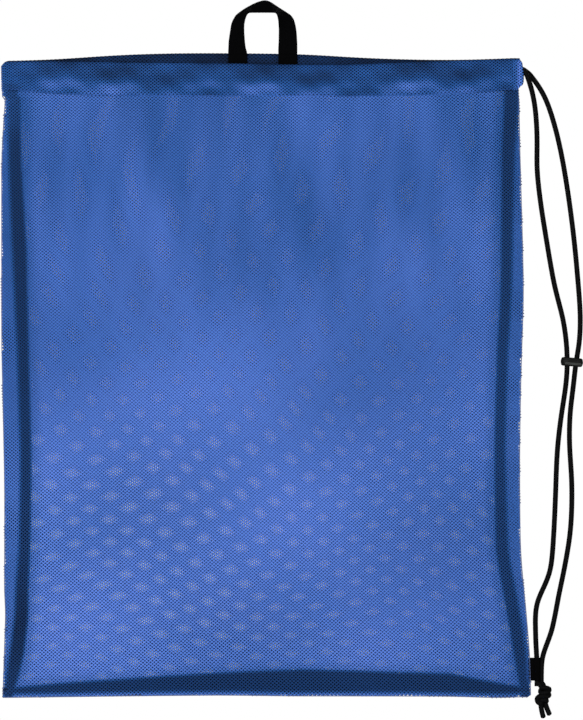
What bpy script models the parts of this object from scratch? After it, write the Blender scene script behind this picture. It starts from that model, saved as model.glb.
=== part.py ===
"""Mesh laundry bag with a drawcord mouth, hanging loop and side carrying cord.

The script works in millimetres and scales each piece to metres, +Z up.  The bag
hangs flat in the XZ plane with its front towards -Y and its right side towards +X.
The origin is the middle of the hang loop's inner top edge, where it bears on a
hook.  The bag hangs below it, so z is negative downwards.
"""
import math
from collections import namedtuple

import bmesh
import bpy
from mathutils import Matrix, Vector

for old in list(bpy.data.objects):
    bpy.data.objects.remove(old, do_unlink=True)

MM = 0.001

# ---------------------------------------------------------------- dimensions
GAP = 0.30                      # clearance between neighbouring pieces
PANEL_GAP = GAP + 0.05          # clearance round the panels

# Outline of the flat bag
BAG_BOTTOM_LEFT = -684.4
BAG_BOTTOM_MID = -681.6
BAG_BOTTOM_RIGHT = -681.4
PANEL_TOP_HALF = 256.0          # half width of the panels at the foot of the hems

# side edges: (z, x)
LEFT_EDGE = [
    (-44.0, -256.0), (-60.0, -259.8), (-82.0, -259.4), (-140.0, -260.2),
    (-330.0, -260.2), (-470.0, -257.2), (-590.0, -257.4), (BAG_BOTTOM_LEFT, -260.6),
]
RIGHT_EDGE = [
    (-84.0, 256.6), (-130.0, 256.9), (-190.0, 258.6), (-285.0, 260.8),
    (-340.0, 258.8), (-445.0, 256.8), (-540.0, 257.6), (-590.0, 262.6),
    (-643.0, 267.2), (BAG_BOTTOM_RIGHT, 267.8),
]
# bottom edge: (x, z)
BOTTOM_EDGE = [
    (-260.6, BAG_BOTTOM_LEFT), (-120.0, -682.6), (0.0, BAG_BOTTOM_MID),
    (190.0, -681.8), (242.0, -683.8), (267.8, BAG_BOTTOM_RIGHT),
]

# places where the pieces along each side edge are sampled, z downwards
LEFT_STEPS = [-140.0, -230.0, -330.0, -400.0, -470.0, -530.0, -590.0]
RIGHT_STEPS = [-130.0, -190.0, -285.0, -340.0, -390.0, -445.0, -500.0, -540.0, -590.0]
PANEL_RIGHT_STEPS = sorted(RIGHT_STEPS + [-240.0, -643.0], reverse=True)
PANEL_BOTTOM_STEPS = [267.8, 242.0, 190.0, 100.0, 0.0, -120.0, -260.6]   # x, leftwards

# Hems: top fold, stitched foot and cord centre, all (x, z)
BACK_HEM_TOP = [
    (-256.0, -47.5), (-202.0, -46.1), (-162.0, -42.4), (-72.0, -39.6), (35.0, -40.4),
    (88.0, -43.8), (138.0, -45.9), (188.0, -46.7), (259.0, -44.4),
]
FRONT_HEM_TOP = [
    (-256.0, -47.9), (-202.0, -47.4), (-152.0, -48.6), (-32.0, -49.6), (28.0, -51.0),
    (78.0, -51.2), (138.0, -48.6), (188.0, -47.2), (259.0, -44.8),
]
HEM_FOOT = [
    (-256.0, -77.0), (-202.0, -82.0), (-112.0, -83.9), (138.0, -83.9),
    (178.0, -82.4), (218.0, -79.6), (259.0, -77.0),
]
CORD_IN_HEM = [(-256.0, -60.0), (60.0, -60.0), (200.0, -58.8), (262.0, -56.2)]

HEM_LEFT_END = -249.5
FACING_FROM, FACING_TO = 250.7, 259.2     # x, turned-in right ends of the hems
HEM_STEPS = 15

# Through the thickness: y from front (-) to back (+)
CLOTH = 0.8                     # mesh cloth
FRONT_IN, BACK_IN = -3.0, 2.2   # inner faces of the panels
FRONT_CORD_Y, BACK_CORD_Y = -4.8, 4.0
CORD_D = 4.4
CORD_R = CORD_D / 2
HEM_WALL = 0.5
FRONT_HEM_IN, BACK_HEM_IN = -1.75, 0.95   # inner faces of the hems
HEM_BORE = CORD_R + 0.35        # half thickness of the casing's hollow
STITCH_DEPTH = (2.5, 3.0)       # from the hem's inner face
STITCH_RISE = (1.2, 2.4)        # above the hem's foot

# Seams
SEAM_WIDTH = 8.0                # sewn seam allowance
SEAM_Y = (FRONT_IN + PANEL_GAP, BACK_IN - PANEL_GAP)
SEAM_INSET = 0.3                # from the bag's edge
SEAM_FOOT = BAG_BOTTOM_MID + SEAM_WIDTH + 1.4
LEFT_SEAM_TOP, RIGHT_SEAM_TOP = -48.0, -86.0
LEFT_SEAM_TOP_WIDTH = 3.6       # beside the hems, above LEFT_SEAM_STEP
LEFT_SEAM_STEP = -86.5
SEAM_BOTTOM_STEPS = 12

THREAD = 1.1                    # overlock thread bundle
THREAD_TOP = -88.0
THREAD_Y = (SEAM_Y[0] + 0.1, SEAM_Y[1] - 0.1)
THREAD_FOOT = SEAM_FOOT + THREAD + 2 * GAP + 0.8
THREAD_NEAR = SEAM_WIDTH + GAP  # distance of the thread from the bag's edge
THREAD_FAR = THREAD_NEAR + THREAD

# Drawcord in the hems
CORD_TURN_X = -249.9            # start of the left turn
CORD_TURN_SQUASH = 0.8          # reach in x over radius in y
CORD_RUN_END = 259.4
CORD_RUN_STEPS = 12
CORD_SIDES = 10

# Hang loop; both outlines run from the left foot over the top to the right foot: (x, z)
WEB = 1.3                       # webbing thickness
LOOP_HINGE_Z = -38.6            # line where the loop bends over the hem
LOOP_OUTER = [
    (-33.9, LOOP_HINGE_Z), (-33.4, -28.0), (-30.7, -10.4), (-26.5, -2.4),
    (-18.2, 3.6), (-10.2, 8.1), (-3.7, 11.0), (3.3, 12.7), (7.8, 11.1),
    (15.8, 5.6), (23.8, 0.6), (29.3, -2.9), (32.3, -8.4), (34.1, -17.4),
    (35.0, -30.4), (35.1, LOOP_HINGE_Z),
]
LOOP_INNER = [
    (-15.9, LOOP_HINGE_Z), (-17.2, -30.4), (-18.0, -19.4), (-18.0, -11.4),
    (-16.7, -5.4), (-14.3, 0.0), (14.4, 0.0), (16.1, -7.4), (16.6, -16.4),
    (16.4, -28.4), (15.8, LOOP_HINGE_Z),
]
LOOP_ENDS = (("left", -34.0, -15.0), ("right", 16.0, 35.0))    # side, x from, x to
LOOP_END_Z = (-66.0, -39.6)
TACK_Z = (-62.5, -59.5)
TACK_INSET = 1.5                # from each side of the webbing
TACK_THICK = 0.5

# Carrying cord centre lines, top to bottom: (x, y, z).  The inner leg leaves the
# front hem and the outer leg the back hem.
INNER_LEG = [
    (261.9, -4.7, -57.4), (265.0, -4.4, -64.6), (268.9, -3.9, -76.6),
    (272.3, -3.0, -94.6), (274.2, -1.6, -126.4), (273.9, -0.6, -154.4),
    (276.9, -0.2, -184.4), (282.4, 0.0, -220.4), (291.9, 0.0, -274.4),
    (299.8, 0.0, -304.4), (303.6, 0.0, -331.4), (304.3, 0.0, -348.4),
    (302.9, 0.0, -371.4), (298.4, 0.0, -400.4), (294.3, 0.0, -436.4),
    (292.3, 0.0, -486.4), (290.3, 0.0, -526.4), (287.1, 0.0, -558.4),
    (280.3, 0.0, -574.4), (274.2, 0.0, -586.4), (272.2, 0.0, -606.4),
    (273.6, 0.0, -629.4), (275.6, 0.0, -642.2), (275.8, 0.0, -650.0),
    (275.8, 0.0, -660.0), (275.8, 0.0, -668.6),
]
OUTER_LEG = [
    (261.9, 4.1, -57.0), (269.0, 4.1, -63.6), (275.0, 4.0, -72.2),
    (281.4, 3.6, -82.6), (289.9, 2.6, -106.4), (297.4, 1.5, -136.4),
    (304.4, 0.6, -176.4), (310.4, 0.0, -221.4), (314.4, 0.0, -262.4),
    (317.3, 0.0, -304.4), (316.0, 0.0, -331.4), (312.9, 0.0, -348.4),
    (310.4, 0.0, -371.4), (306.9, 0.0, -400.4), (306.4, 0.0, -430.4),
    (308.8, 0.0, -471.4), (307.4, 0.0, -516.4), (300.9, 0.0, -556.4),
    (295.8, 0.0, -580.4), (291.4, 0.0, -604.4), (286.0, 0.0, -627.4),
    (282.6, 0.0, -641.4), (281.7, 0.0, -650.0), (281.6, 0.0, -660.0),
    (281.6, 0.0, -668.6),
]
LEG_STEP = 13.0                 # rough spacing of the cord's rings

SLIDER_CENTRE = (308.8, 0.0, -348.4)
SLIDER_SIZE = (22.4, 9.6, 8.8)  # across, through, along the cords
SLIDER_TILT = 5.0               # degrees, right end lower
SLIDER_CORNER_R = 4.3
SLIDER_RIM_R = 1.2
SLIDER_HOLES = ((304.3, -3.0), (312.9, 6.0))    # x, lean in degrees about +Y
SLIDER_HOLE_D = 5.6
SLIDER_CUTTER_LENGTH = 30.0

# Corner tab: webbing folded round the inner leg
TAB_Z = (-667.2, -643.2)
TAB_OUT = 278.9                 # x of the outer fold
TAB_WEB = 0.6
TAB_BORE = CORD_R + 0.3
TAB_HALF = TAB_BORE + TAB_WEB
TAB_NECK = 0.2                  # from the round part to the flat part
TAB_ARC = 2.64                  # radians, half sweep of the round part
TAB_ENDS = (-4.9, -0.2)         # x from the right edge, sewn ends
TAB_ENDS_Y = (-0.7, 0.6)
TAB_TACK = (-3.6, -2.0)         # x from the right edge
TAB_TACK_Y = (-1.5, -1.05)
TAB_TACK_INSET = 2.0            # from the top and bottom of the tab
TAB_NOTCH_DEPTH = 5.6           # right seam cut back from the edge at the tab
TAB_NOTCH_GAP = GAP + 0.2
NOTCH_STEP = 0.1                # height over which the notch steps in and out

# Knot and tails
KNOT_CENTRE = (279.2, 0.0, -679.6)
KNOT_RADII = (5.4, 4.4, 8.7)
KNOT_PIVOT = (279.0, 0.0, -670.6)
# centre, radii, turn about Y in radians: crown, lower turn, outer turn
KNOT_LOBES = (
    (KNOT_PIVOT, (4.6, 1.7, 1.7), 0.0),
    ((277.8, 0.0, -686.9), (3.8, 3.6, 4.6), 0.2),
    ((284.3, 0.0, -677.6), (3.9, 4.0, 5.8), 0.3),
)
TAIL_R = 2.3
TAIL_SIDES = 12
TAILS = (                       # name, centre line
    ("inner", [(277.0, -0.6, -691.9), (278.6, -0.6, -697.0), (280.4, -0.6, -703.4)]),
    ("outer", [(283.3, 0.6, -689.7), (284.8, 0.6, -695.2), (286.6, 0.6, -702.0)]),
)

# Joints
MOUTH_PIVOT = (0.0, FRONT_IN - CLOTH / 2, BAG_BOTTOM_LEFT)
SWING_FOOT = (268.7, 0.0, -655.0)         # at the corner tab
PIVOT_SIZE = 0.02               # metres, drawn size of a joint empty

# ----------------------------------------------------------------- materials


def make_material(name, rgb, roughness):
    mat = bpy.data.materials.get(name)
    if mat is None:
        mat = bpy.data.materials.new(name)
        mat.use_nodes = True
        shader = mat.node_tree.nodes["Principled BSDF"]
        shader.inputs["Base Color"].default_value = (*rgb, 1.0)
        shader.inputs["Roughness"].default_value = roughness
        mat.diffuse_color = (*rgb, 1.0)
    return mat


BLUE_MESH = make_material("blue_mesh", rgb=(0.045, 0.125, 0.43), roughness=0.62)
BLUE_HEM = make_material("blue_hem", rgb=(0.030, 0.090, 0.34), roughness=0.62)
BLUE_THREAD = make_material("blue_thread", rgb=(0.060, 0.120, 0.36), roughness=0.70)
BLACK_WEBBING = make_material("black_webbing", rgb=(0.008, 0.008, 0.009), roughness=0.70)
BLACK_CORD = make_material("black_cord", rgb=(0.008, 0.008, 0.008), roughness=0.75)
BLACK_PLASTIC = make_material("black_plastic", rgb=(0.018, 0.020, 0.018), roughness=0.45)

# -------------------------------------------------------------------- curves


def spaced(start, end, count):
    """count + 1 even values from start to end."""
    return [start + (end - start) * i / count for i in range(count + 1)]


def hermite(s, start, end, start_slope, end_slope):
    """Cubic between start and end at s from 0 to 1; slopes are per unit of s."""
    return ((2 * s**3 - 3 * s**2 + 1) * start + (s**3 - 2 * s**2 + s) * start_slope
            + (-2 * s**3 + 3 * s**2) * end + (s**3 - s**2) * end_slope)


def along(stations, place):
    """Smooth value at a place through (place, value) stations, held past the ends."""
    knots = sorted(stations)
    if place <= knots[0][0]:
        return knots[0][1]
    if place >= knots[-1][0]:
        return knots[-1][1]
    secants = [(v1 - v0) / (p1 - p0) for (p0, v0), (p1, v1) in zip(knots, knots[1:])]

    def slope(k):
        """Harmonic mean of the neighbouring secants, so the curve never overshoots."""
        if k == 0:
            return secants[0]
        if k == len(secants):
            return secants[-1]
        before, after = secants[k - 1], secants[k]
        return 0.0 if before * after <= 0 else 2 * before * after / (before + after)

    i = next(k for k in range(len(secants)) if place <= knots[k + 1][0])
    (start, start_value), (end, end_value) = knots[i], knots[i + 1]
    span = end - start
    return hermite((place - start) / span, start_value, end_value,
                   span * slope(i), span * slope(i + 1))


def curve_points(controls, step):
    """Points about one step apart on a smooth curve through 3D control points."""
    pts = [Vector(c) for c in controls]
    pts = [2 * pts[0] - pts[1]] + pts + [2 * pts[-1] - pts[-2]]
    out = []
    for before, start, end, after in zip(pts, pts[1:], pts[2:], pts[3:]):
        span = (end - start).length
        start_slope = (end - before) * span / (span + (start - before).length)
        end_slope = (after - start) * span / ((after - end).length + span)
        count = max(1, round(span / step))
        out += [hermite(k / count, start, end, start_slope, end_slope)
                for k in range(count)]
    out.append(pts[-2])
    return out


# -------------------------------------------------------------------- solids


def slab(outline, y0, y1):
    """A flat plate: the closed (x, z) outline, extruded from y0 to y1."""
    bm = bmesh.new()
    face = bm.faces.new([bm.verts.new((x, y0, z)) for x, z in outline])
    out = bmesh.ops.extrude_face_region(bm, geom=[face])
    moved = [g for g in out["geom"] if isinstance(g, bmesh.types.BMVert)]
    bmesh.ops.translate(bm, vec=(0, y1 - y0, 0), verts=moved)
    bmesh.ops.triangulate(bm, faces=[f for f in bm.faces if len(f.verts) > 4])
    return bm


def rectangle(x0, x1, z0, z1):
    return [(x0, z0), (x1, z0), (x1, z1), (x0, z1)]


def skin(bm, sections):
    """Join closed rings of points with quads; returns the rings of vertices."""
    loops = [[bm.verts.new(p) for p in section] for section in sections]
    n = len(loops[0])
    for a, b in zip(loops, loops[1:]):
        for i in range(n):
            bm.faces.new((a[i], a[(i + 1) % n], b[(i + 1) % n], b[i]))
    return loops


def solid_rings(sections):
    """A skinned solid, closed by one flat face at each end."""
    bm = bmesh.new()
    loops = skin(bm, sections)
    bm.faces.new(loops[0][::-1])
    bm.faces.new(loops[-1])
    return bm


def hollow_rings(outer, inner):
    """A skinned pipe, open through, with a flat rim at each end."""
    bm = bmesh.new()
    outer_loops, inner_loops = skin(bm, outer), skin(bm, inner)
    for end in (0, -1):
        edges = [bm.edges.get((loop[k], loop[(k + 1) % len(loop)]))
                 for loop in (outer_loops[end], inner_loops[end])
                 for k in range(len(loop))]
        bmesh.ops.triangle_fill(bm, use_beauty=True, use_dissolve=False, edges=edges)
    return bm


def circle(centre, side, top, radius, sides):
    """Points of a circle spanned by the unit vectors side and top."""
    angles = [2 * math.pi * k / sides for k in range(sides)]
    return [centre + radius * (math.cos(a) * side + math.sin(a) * top) for a in angles]


def tube(points, radius=CORD_R, sides=CORD_SIDES):
    """A round cord along points, with flat ends; it must not run along Y."""
    pts = [Vector(p) for p in points]
    sections = []
    for i, p in enumerate(pts):
        direction = (pts[min(i + 1, len(pts) - 1)] - pts[max(i - 1, 0)]).normalized()
        side = direction.cross(Vector((0, 1, 0))).normalized()
        top = side.cross(direction).normalized()
        sections.append(circle(p, side, top, radius, sides))
    return solid_rings(sections)


def level_strip(line, xs, rises, ys):
    """A thin strip above the (x, z) line, between two rises and two y values."""
    (low, high), (y0, y1) = rises, ys
    sections = []
    for x in xs:
        z = along(line, x)
        sections.append([(x, y0, z + low), (x, y1, z + low),
                         (x, y1, z + high), (x, y0, z + high)])
    return solid_rings(sections)


def upright_strip(edge, stations, ys):
    """A thin strip beside the (z, x) edge; stations are (z, x offset from, to)."""
    y0, y1 = ys
    sections = []
    for z, offset_from, offset_to in stations:
        x0, x1 = along(edge, z) + offset_from, along(edge, z) + offset_to
        sections.append([(x0, y0, z), (x1, y0, z), (x1, y1, z), (x0, y1, z)])
    return solid_rings(sections)


def ellipsoid(centre, radii, turn, segments, ring_count):
    bm = bmesh.new()
    bmesh.ops.create_uvsphere(bm, u_segments=segments, v_segments=ring_count, radius=1.0)
    place = (Matrix.Translation(Vector(centre)) @ Matrix.Rotation(turn, 4, "Y")
             @ Matrix.Diagonal((*radii, 1.0)))
    bmesh.ops.transform(bm, matrix=place, verts=bm.verts)
    return bm


# ------------------------------------------------------------------- objects

pivot_place = {}                # pivot name: world place in metres


def add_pivot(name, at, parent=None):
    """An empty on a joint's axis, at a world place in millimetres."""
    empty = bpy.data.objects.new(name, None)
    bpy.context.scene.collection.objects.link(empty)
    empty.empty_display_size = PIVOT_SIZE
    pivot_place[name] = empty.location = Vector(at) * MM
    if parent is not None:
        empty.parent = parent
        empty.location = pivot_place[name] - pivot_place[parent.name]
    return empty


def finish_piece(name, bm, mat, parent=None, smooth=False):
    """Turn a world-placed bmesh in millimetres into an object whose origin is
    its parent pivot, or the world origin without one."""
    bmesh.ops.scale(bm, vec=(MM, MM, MM), verts=bm.verts)
    bmesh.ops.recalc_face_normals(bm, faces=bm.faces)
    if parent is not None:
        bmesh.ops.translate(bm, vec=-pivot_place[parent.name], verts=bm.verts)
    mesh = bpy.data.meshes.new(name)
    bm.to_mesh(mesh)
    bm.free()
    mesh.materials.append(mat)
    if smooth:
        mesh.shade_smooth()
        mesh.set_sharp_from_angle(angle=math.radians(40))
    ob = bpy.data.objects.new(name, mesh)
    bpy.context.scene.collection.objects.link(ob)
    ob.parent = parent
    return ob


def add_boolean(target, helper, name, operation):
    """Cut or join target with a helper, which is hidden from renders."""
    helper.hide_render = True
    helper.display_type = "WIRE"
    modifier = target.modifiers.new(name, "BOOLEAN")
    modifier.operation = operation
    modifier.solver = "EXACT"
    modifier.object = helper


# -------------------------------------------------------------------- joints
# The front swings about the bag's bottom and the loop about its bend.  The
# carrying cord swings about the line from its exit at the hems to the corner tab.
mouth_pivot = add_pivot("mouth_pivot", MOUTH_PIVOT)
loop_pivot = add_pivot("loop_pivot", (0.0, 0.0, LOOP_HINGE_Z))
strap_pivot = add_pivot("strap_pivot", SWING_FOOT)
slider_pivot = add_pivot("slider_pivot", SLIDER_CENTRE, strap_pivot)
knot_pivot = add_pivot("knot_pivot", KNOT_PIVOT, strap_pivot)

# ------------------------------------------------- back and front of the bag
# sign is the outward direction in y
Face = namedtuple("Face", "name sign panel_in hem_in cord_y hem_top pivot")
FACES = (
    Face("back", 1, BACK_IN, BACK_HEM_IN, BACK_CORD_Y, BACK_HEM_TOP, None),
    Face("front", -1, FRONT_IN, FRONT_HEM_IN, FRONT_CORD_Y, FRONT_HEM_TOP, mouth_pivot),
)


def panel_outline():
    """Clockwise seen from the front: foot of the hem, right edge, bottom, left edge."""
    top = [(x, along(HEM_FOOT, x) - PANEL_GAP)
           for x in spaced(-PANEL_TOP_HALF, PANEL_TOP_HALF, 16)]
    right = [(along(RIGHT_EDGE, z), z) for z in PANEL_RIGHT_STEPS]
    bottom = [(x, along(BOTTOM_EDGE, x)) for x in PANEL_BOTTOM_STEPS]
    left = [(along(LEFT_EDGE, z), z) for z in reversed(LEFT_STEPS)]
    return top + right + bottom + left


def casing(face, x0, x1, steps):
    """A hem casing: cloth folded over the cord, as a flat tube open at both ends."""
    thick = face.sign * (face.cord_y - face.hem_in) + HEM_BORE + HEM_WALL
    outer, inner = [], []
    for x in spaced(x0, x1, steps):
        foot, cord = along(HEM_FOOT, x), along(CORD_IN_HEM, x)
        fold = along(face.hem_top, x)
        # (depth outwards from the hem's inner face, z)
        outside = [
            (0.10, foot), (0.05, foot + 8.0), (0.0, cord - 4.5), (0.0, cord + 3.5),
            (1.6, fold - 0.7), (2.6, fold), (3.5, fold - 0.7),
            (thick, cord + 3.0), (thick, cord - 3.2), (2.7, foot + 8.0), (1.9, foot),
        ]
        hollow = [
            (HEM_WALL, foot + 7.6), (HEM_WALL, cord - 4.2), (HEM_WALL, cord + 3.0),
            (2.0, fold - 1.9), (3.2, fold - 1.9),
            (thick - HEM_WALL, cord + 2.6), (thick - HEM_WALL, cord - 2.9),
            (1.9, foot + 7.6),
        ]
        for rings, profile in ((outer, outside), (inner, hollow)):
            rings.append([(x, face.hem_in + face.sign * depth, z) for depth, z in profile])
    return hollow_rings(outer, inner)


def build_face(face):
    """One panel with its hem, the hem's right end, its stitch line and its cord."""
    panel_y = sorted((face.panel_in, face.panel_in + face.sign * CLOTH))
    finish_piece(face.name + "_panel", slab(panel_outline(), *panel_y),
                 BLUE_MESH, face.pivot)
    finish_piece(face.name + "_hem",
                 casing(face, HEM_LEFT_END, FACING_FROM - GAP, HEM_STEPS),
                 BLUE_HEM, face.pivot)
    finish_piece(face.name + "_exit_facing", casing(face, FACING_FROM, FACING_TO, 1),
                 BLUE_MESH, face.pivot)
    stitch_y = sorted(face.hem_in + face.sign * depth for depth in STITCH_DEPTH)
    stitch_xs = spaced(HEM_LEFT_END, FACING_TO, HEM_STEPS)
    finish_piece(face.name + "_hem_stitch",
                 level_strip(HEM_FOOT, stitch_xs, STITCH_RISE, stitch_y),
                 BLUE_THREAD, face.pivot)
    cord_xs = spaced(CORD_TURN_X + GAP, CORD_RUN_END, CORD_RUN_STEPS)
    finish_piece("drawcord_" + face.name + "_run",
                 tube([(x, face.cord_y, along(CORD_IN_HEM, x)) for x in cord_xs]),
                 BLACK_CORD, face.pivot, smooth=True)


def build_drawcord_turn():
    """The cord's bend at the left, from the back run round to the front run."""
    radius = (BACK_CORD_Y - FRONT_CORD_Y) / 2
    middle_y = (BACK_CORD_Y + FRONT_CORD_Y) / 2
    up = Vector((0, 0, 1))
    sections = []
    for a in spaced(0.0, math.pi, 8):
        centre = Vector((CORD_TURN_X - radius * CORD_TURN_SQUASH * math.sin(a),
                         middle_y + radius * math.cos(a),
                         along(CORD_IN_HEM, CORD_TURN_X)))
        direction = Vector((-math.cos(a) * CORD_TURN_SQUASH, -math.sin(a), 0)).normalized()
        sections.append(circle(centre, up.cross(direction), up, CORD_R, CORD_SIDES))
    finish_piece("drawcord_left_turn", solid_rings(sections), BLACK_CORD, smooth=True)


# --------------------------------------------------------------------- seams


def build_left_seam():
    """Seam allowance, narrower beside the hems, and the thread on its cut edge."""
    narrow = [LEFT_SEAM_TOP, -54.0, -60.0, -72.0, LEFT_SEAM_STEP + 0.1]
    wide = [LEFT_SEAM_STEP - 0.1] + LEFT_STEPS + [-640.0, SEAM_FOOT]
    stations = [(z, SEAM_INSET, LEFT_SEAM_TOP_WIDTH) for z in narrow]
    stations += [(z, SEAM_INSET, SEAM_WIDTH) for z in wide]
    finish_piece("left_side_seam", upright_strip(LEFT_EDGE, stations, SEAM_Y), BLUE_MESH)
    stations = [(z, THREAD_NEAR, THREAD_FAR)
                for z in [THREAD_TOP] + LEFT_STEPS + [THREAD_FOOT]]
    finish_piece("left_overlock_thread", upright_strip(LEFT_EDGE, stations, THREAD_Y),
                 BLUE_THREAD)


def build_right_seam():
    """Seam allowance, notched at the corner tab, and the thread on its cut edge."""
    notch_top = TAB_Z[1] + TAB_NOTCH_GAP
    notch_foot = TAB_Z[0] - TAB_NOTCH_GAP
    above = [RIGHT_SEAM_TOP] + RIGHT_STEPS + [notch_top + NOTCH_STEP]
    below = [notch_foot - NOTCH_STEP, SEAM_FOOT]
    stations = [(z, -SEAM_WIDTH, -SEAM_INSET) for z in above]
    stations += [(z, -SEAM_WIDTH, -TAB_NOTCH_DEPTH) for z in (notch_top, notch_foot)]
    stations += [(z, -SEAM_WIDTH, -SEAM_INSET) for z in below]
    finish_piece("right_side_seam", upright_strip(RIGHT_EDGE, stations, SEAM_Y), BLUE_MESH)
    stations = [(z, -THREAD_FAR, -THREAD_NEAR)
                for z in [THREAD_TOP] + RIGHT_STEPS + [-643.0, THREAD_FOOT]]
    finish_piece("right_overlock_thread", upright_strip(RIGHT_EDGE, stations, THREAD_Y),
                 BLUE_THREAD)


def build_bottom_seam():
    thread_xs = spaced(-250.6, 257.2, SEAM_BOTTOM_STEPS)
    seam_xs = [-259.8] + thread_xs + [267.2]
    finish_piece("bottom_seam",
                 level_strip(BOTTOM_EDGE, seam_xs, (SEAM_INSET, SEAM_WIDTH), SEAM_Y),
                 BLUE_MESH)
    finish_piece("bottom_overlock_thread",
                 level_strip(BOTTOM_EDGE, thread_xs, (THREAD_NEAR, THREAD_FAR), THREAD_Y),
                 BLUE_THREAD)


# ----------------------------------------------------------------- hang loop


def build_hang_loop():
    """The loop above its bend, and its two flat ends with a tack on each."""
    finish_piece("hang_loop", slab(LOOP_OUTER + LOOP_INNER[::-1], -WEB / 2, WEB / 2),
                 BLACK_WEBBING, loop_pivot)
    tack_back = -WEB / 2 - GAP
    for side, x0, x1 in LOOP_ENDS:
        finish_piece("hang_loop_end_" + side,
                     slab(rectangle(x0, x1, *LOOP_END_Z), -WEB / 2, WEB / 2),
                     BLACK_WEBBING)
        tack = rectangle(x0 + TACK_INSET, x1 - TACK_INSET, *TACK_Z)
        finish_piece("loop_tack_" + side, slab(tack, tack_back - TACK_THICK, tack_back),
                     BLUE_THREAD)


# --------------------------------------------------- carrying cord and slider


def build_cord_legs():
    for name, controls in (("inner", INNER_LEG), ("outer", OUTER_LEG)):
        finish_piece("cord_leg_" + name, tube(curve_points(controls, LEG_STEP)),
                     BLACK_CORD, strap_pivot, smooth=True)


def slider_body():
    """A block with rounded upright corners, then softened top and bottom rims."""
    def rise(edge):
        return abs(edge.verts[0].co.z - edge.verts[1].co.z)

    def is_rim(edge):
        if rise(edge) >= 1e-6 or len(edge.link_faces) != 2:
            return False
        first, second = edge.link_faces
        return abs(first.normal.z - second.normal.z) > 0.5

    bm = bmesh.new()
    bmesh.ops.create_cube(bm, size=1.0)
    bmesh.ops.scale(bm, vec=SLIDER_SIZE, verts=bm.verts)
    bmesh.ops.bevel(bm, geom=[e for e in bm.edges if rise(e) > 1e-6],
                    offset=SLIDER_CORNER_R, segments=5, profile=0.5, affect="EDGES")
    bmesh.ops.bevel(bm, geom=[e for e in bm.edges if is_rim(e)],
                    offset=SLIDER_RIM_R, segments=2, profile=0.6, affect="EDGES")
    place = (Matrix.Translation(Vector(SLIDER_CENTRE))
             @ Matrix.Rotation(math.radians(SLIDER_TILT), 4, "Y"))
    bmesh.ops.transform(bm, matrix=place, verts=bm.verts)
    return bm


def build_slider():
    slider = finish_piece("cord_slider", slider_body(), BLACK_PLASTIC, slider_pivot,
                          smooth=True)
    for number, (x, lean) in enumerate(SLIDER_HOLES, 1):
        bm = bmesh.new()
        bmesh.ops.create_cone(bm, cap_ends=True, segments=20, radius1=SLIDER_HOLE_D / 2,
                              radius2=SLIDER_HOLE_D / 2, depth=SLIDER_CUTTER_LENGTH)
        place = (Matrix.Translation((x, 0, SLIDER_CENTRE[2]))
                 @ Matrix.Rotation(math.radians(lean), 4, "Y"))
        bmesh.ops.transform(bm, matrix=place, verts=bm.verts)
        cutter = finish_piece(f"slider_hole_cutter_{number}", bm, BLACK_PLASTIC,
                              slider_pivot)
        add_boolean(slider, cutter, f"hole_{number}", "DIFFERENCE")


# ---------------------------------------------------------------- corner tab


def build_corner_tab():
    """Flat towards the seam, round about the cord; its sewn ends and their tack."""
    centre_x = TAB_OUT - TAB_HALF
    flat_x = SWING_FOOT[0] + 0.1
    neck_x = centre_x - TAB_HALF - TAB_NECK

    def arc(radius, angles):
        return [(centre_x + radius * math.cos(a), radius * math.sin(a)) for a in angles]

    outer = [(flat_x, -TAB_WEB), (neck_x, -TAB_WEB)]
    outer += arc(TAB_HALF, spaced(-TAB_ARC, TAB_ARC, 12))
    outer += [(neck_x, TAB_WEB), (flat_x, TAB_WEB)]
    hollow = arc(TAB_BORE, spaced(-math.pi, math.pi, 16)[:-1])
    tab = hollow_rings(*([[(x, y, z) for x, y in profile] for z in TAB_Z]
                         for profile in (outer, hollow)))
    finish_piece("corner_tab", tab, BLACK_WEBBING, strap_pivot, smooth=True)

    foot, top = TAB_Z
    stations = [(z, *TAB_ENDS) for z in spaced(top, foot, 3)]
    finish_piece("corner_tab_ends", upright_strip(RIGHT_EDGE, stations, TAB_ENDS_Y),
                 BLACK_WEBBING)
    stations = [(z, *TAB_TACK)
                for z in spaced(top - TAB_TACK_INSET, foot + TAB_TACK_INSET, 3)]
    finish_piece("corner_tab_tack", upright_strip(RIGHT_EDGE, stations, TAB_TACK_Y),
                 BLUE_THREAD)


# ------------------------------------------------------------ knot and tails


def build_knot():
    body = ellipsoid(KNOT_CENTRE, KNOT_RADII, turn=0.0, segments=16, ring_count=10)
    knot = finish_piece("cord_knot", body, BLACK_CORD, knot_pivot, smooth=True)
    for number, (centre, radii, turn) in enumerate(KNOT_LOBES, 1):
        lobe = finish_piece(f"knot_lobe_guide_{number}",
                            ellipsoid(centre, radii, turn, segments=14, ring_count=8),
                            BLACK_CORD, knot_pivot)
        add_boolean(knot, lobe, f"lobe_{number}", "UNION")
    for name, line in TAILS:
        finish_piece("cord_tail_" + name, tube(line, TAIL_R, TAIL_SIDES), BLACK_CORD,
                     knot_pivot, smooth=True)


# --------------------------------------------------------------------- build
for bag_face in FACES:
    build_face(bag_face)
build_drawcord_turn()
build_left_seam()
build_right_seam()
build_bottom_seam()
build_hang_loop()
build_cord_legs()
build_slider()
build_corner_tab()
build_knot()
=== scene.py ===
"""A mesh laundry bag with hemmed mouth, drawcord, slider, knot and hanging loop.

Metres, +Z up, front towards -Y, +X to the right.  The bag is flat and hangs down
from the loop at the origin; its drawcord leaves the hem at the right end and runs
down beside the right seam.  Shapes follow the frame's nodes, read by cutting them
with planes.
"""
import math

import bpy
import numpy as np
from mathutils import Matrix, Vector


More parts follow.
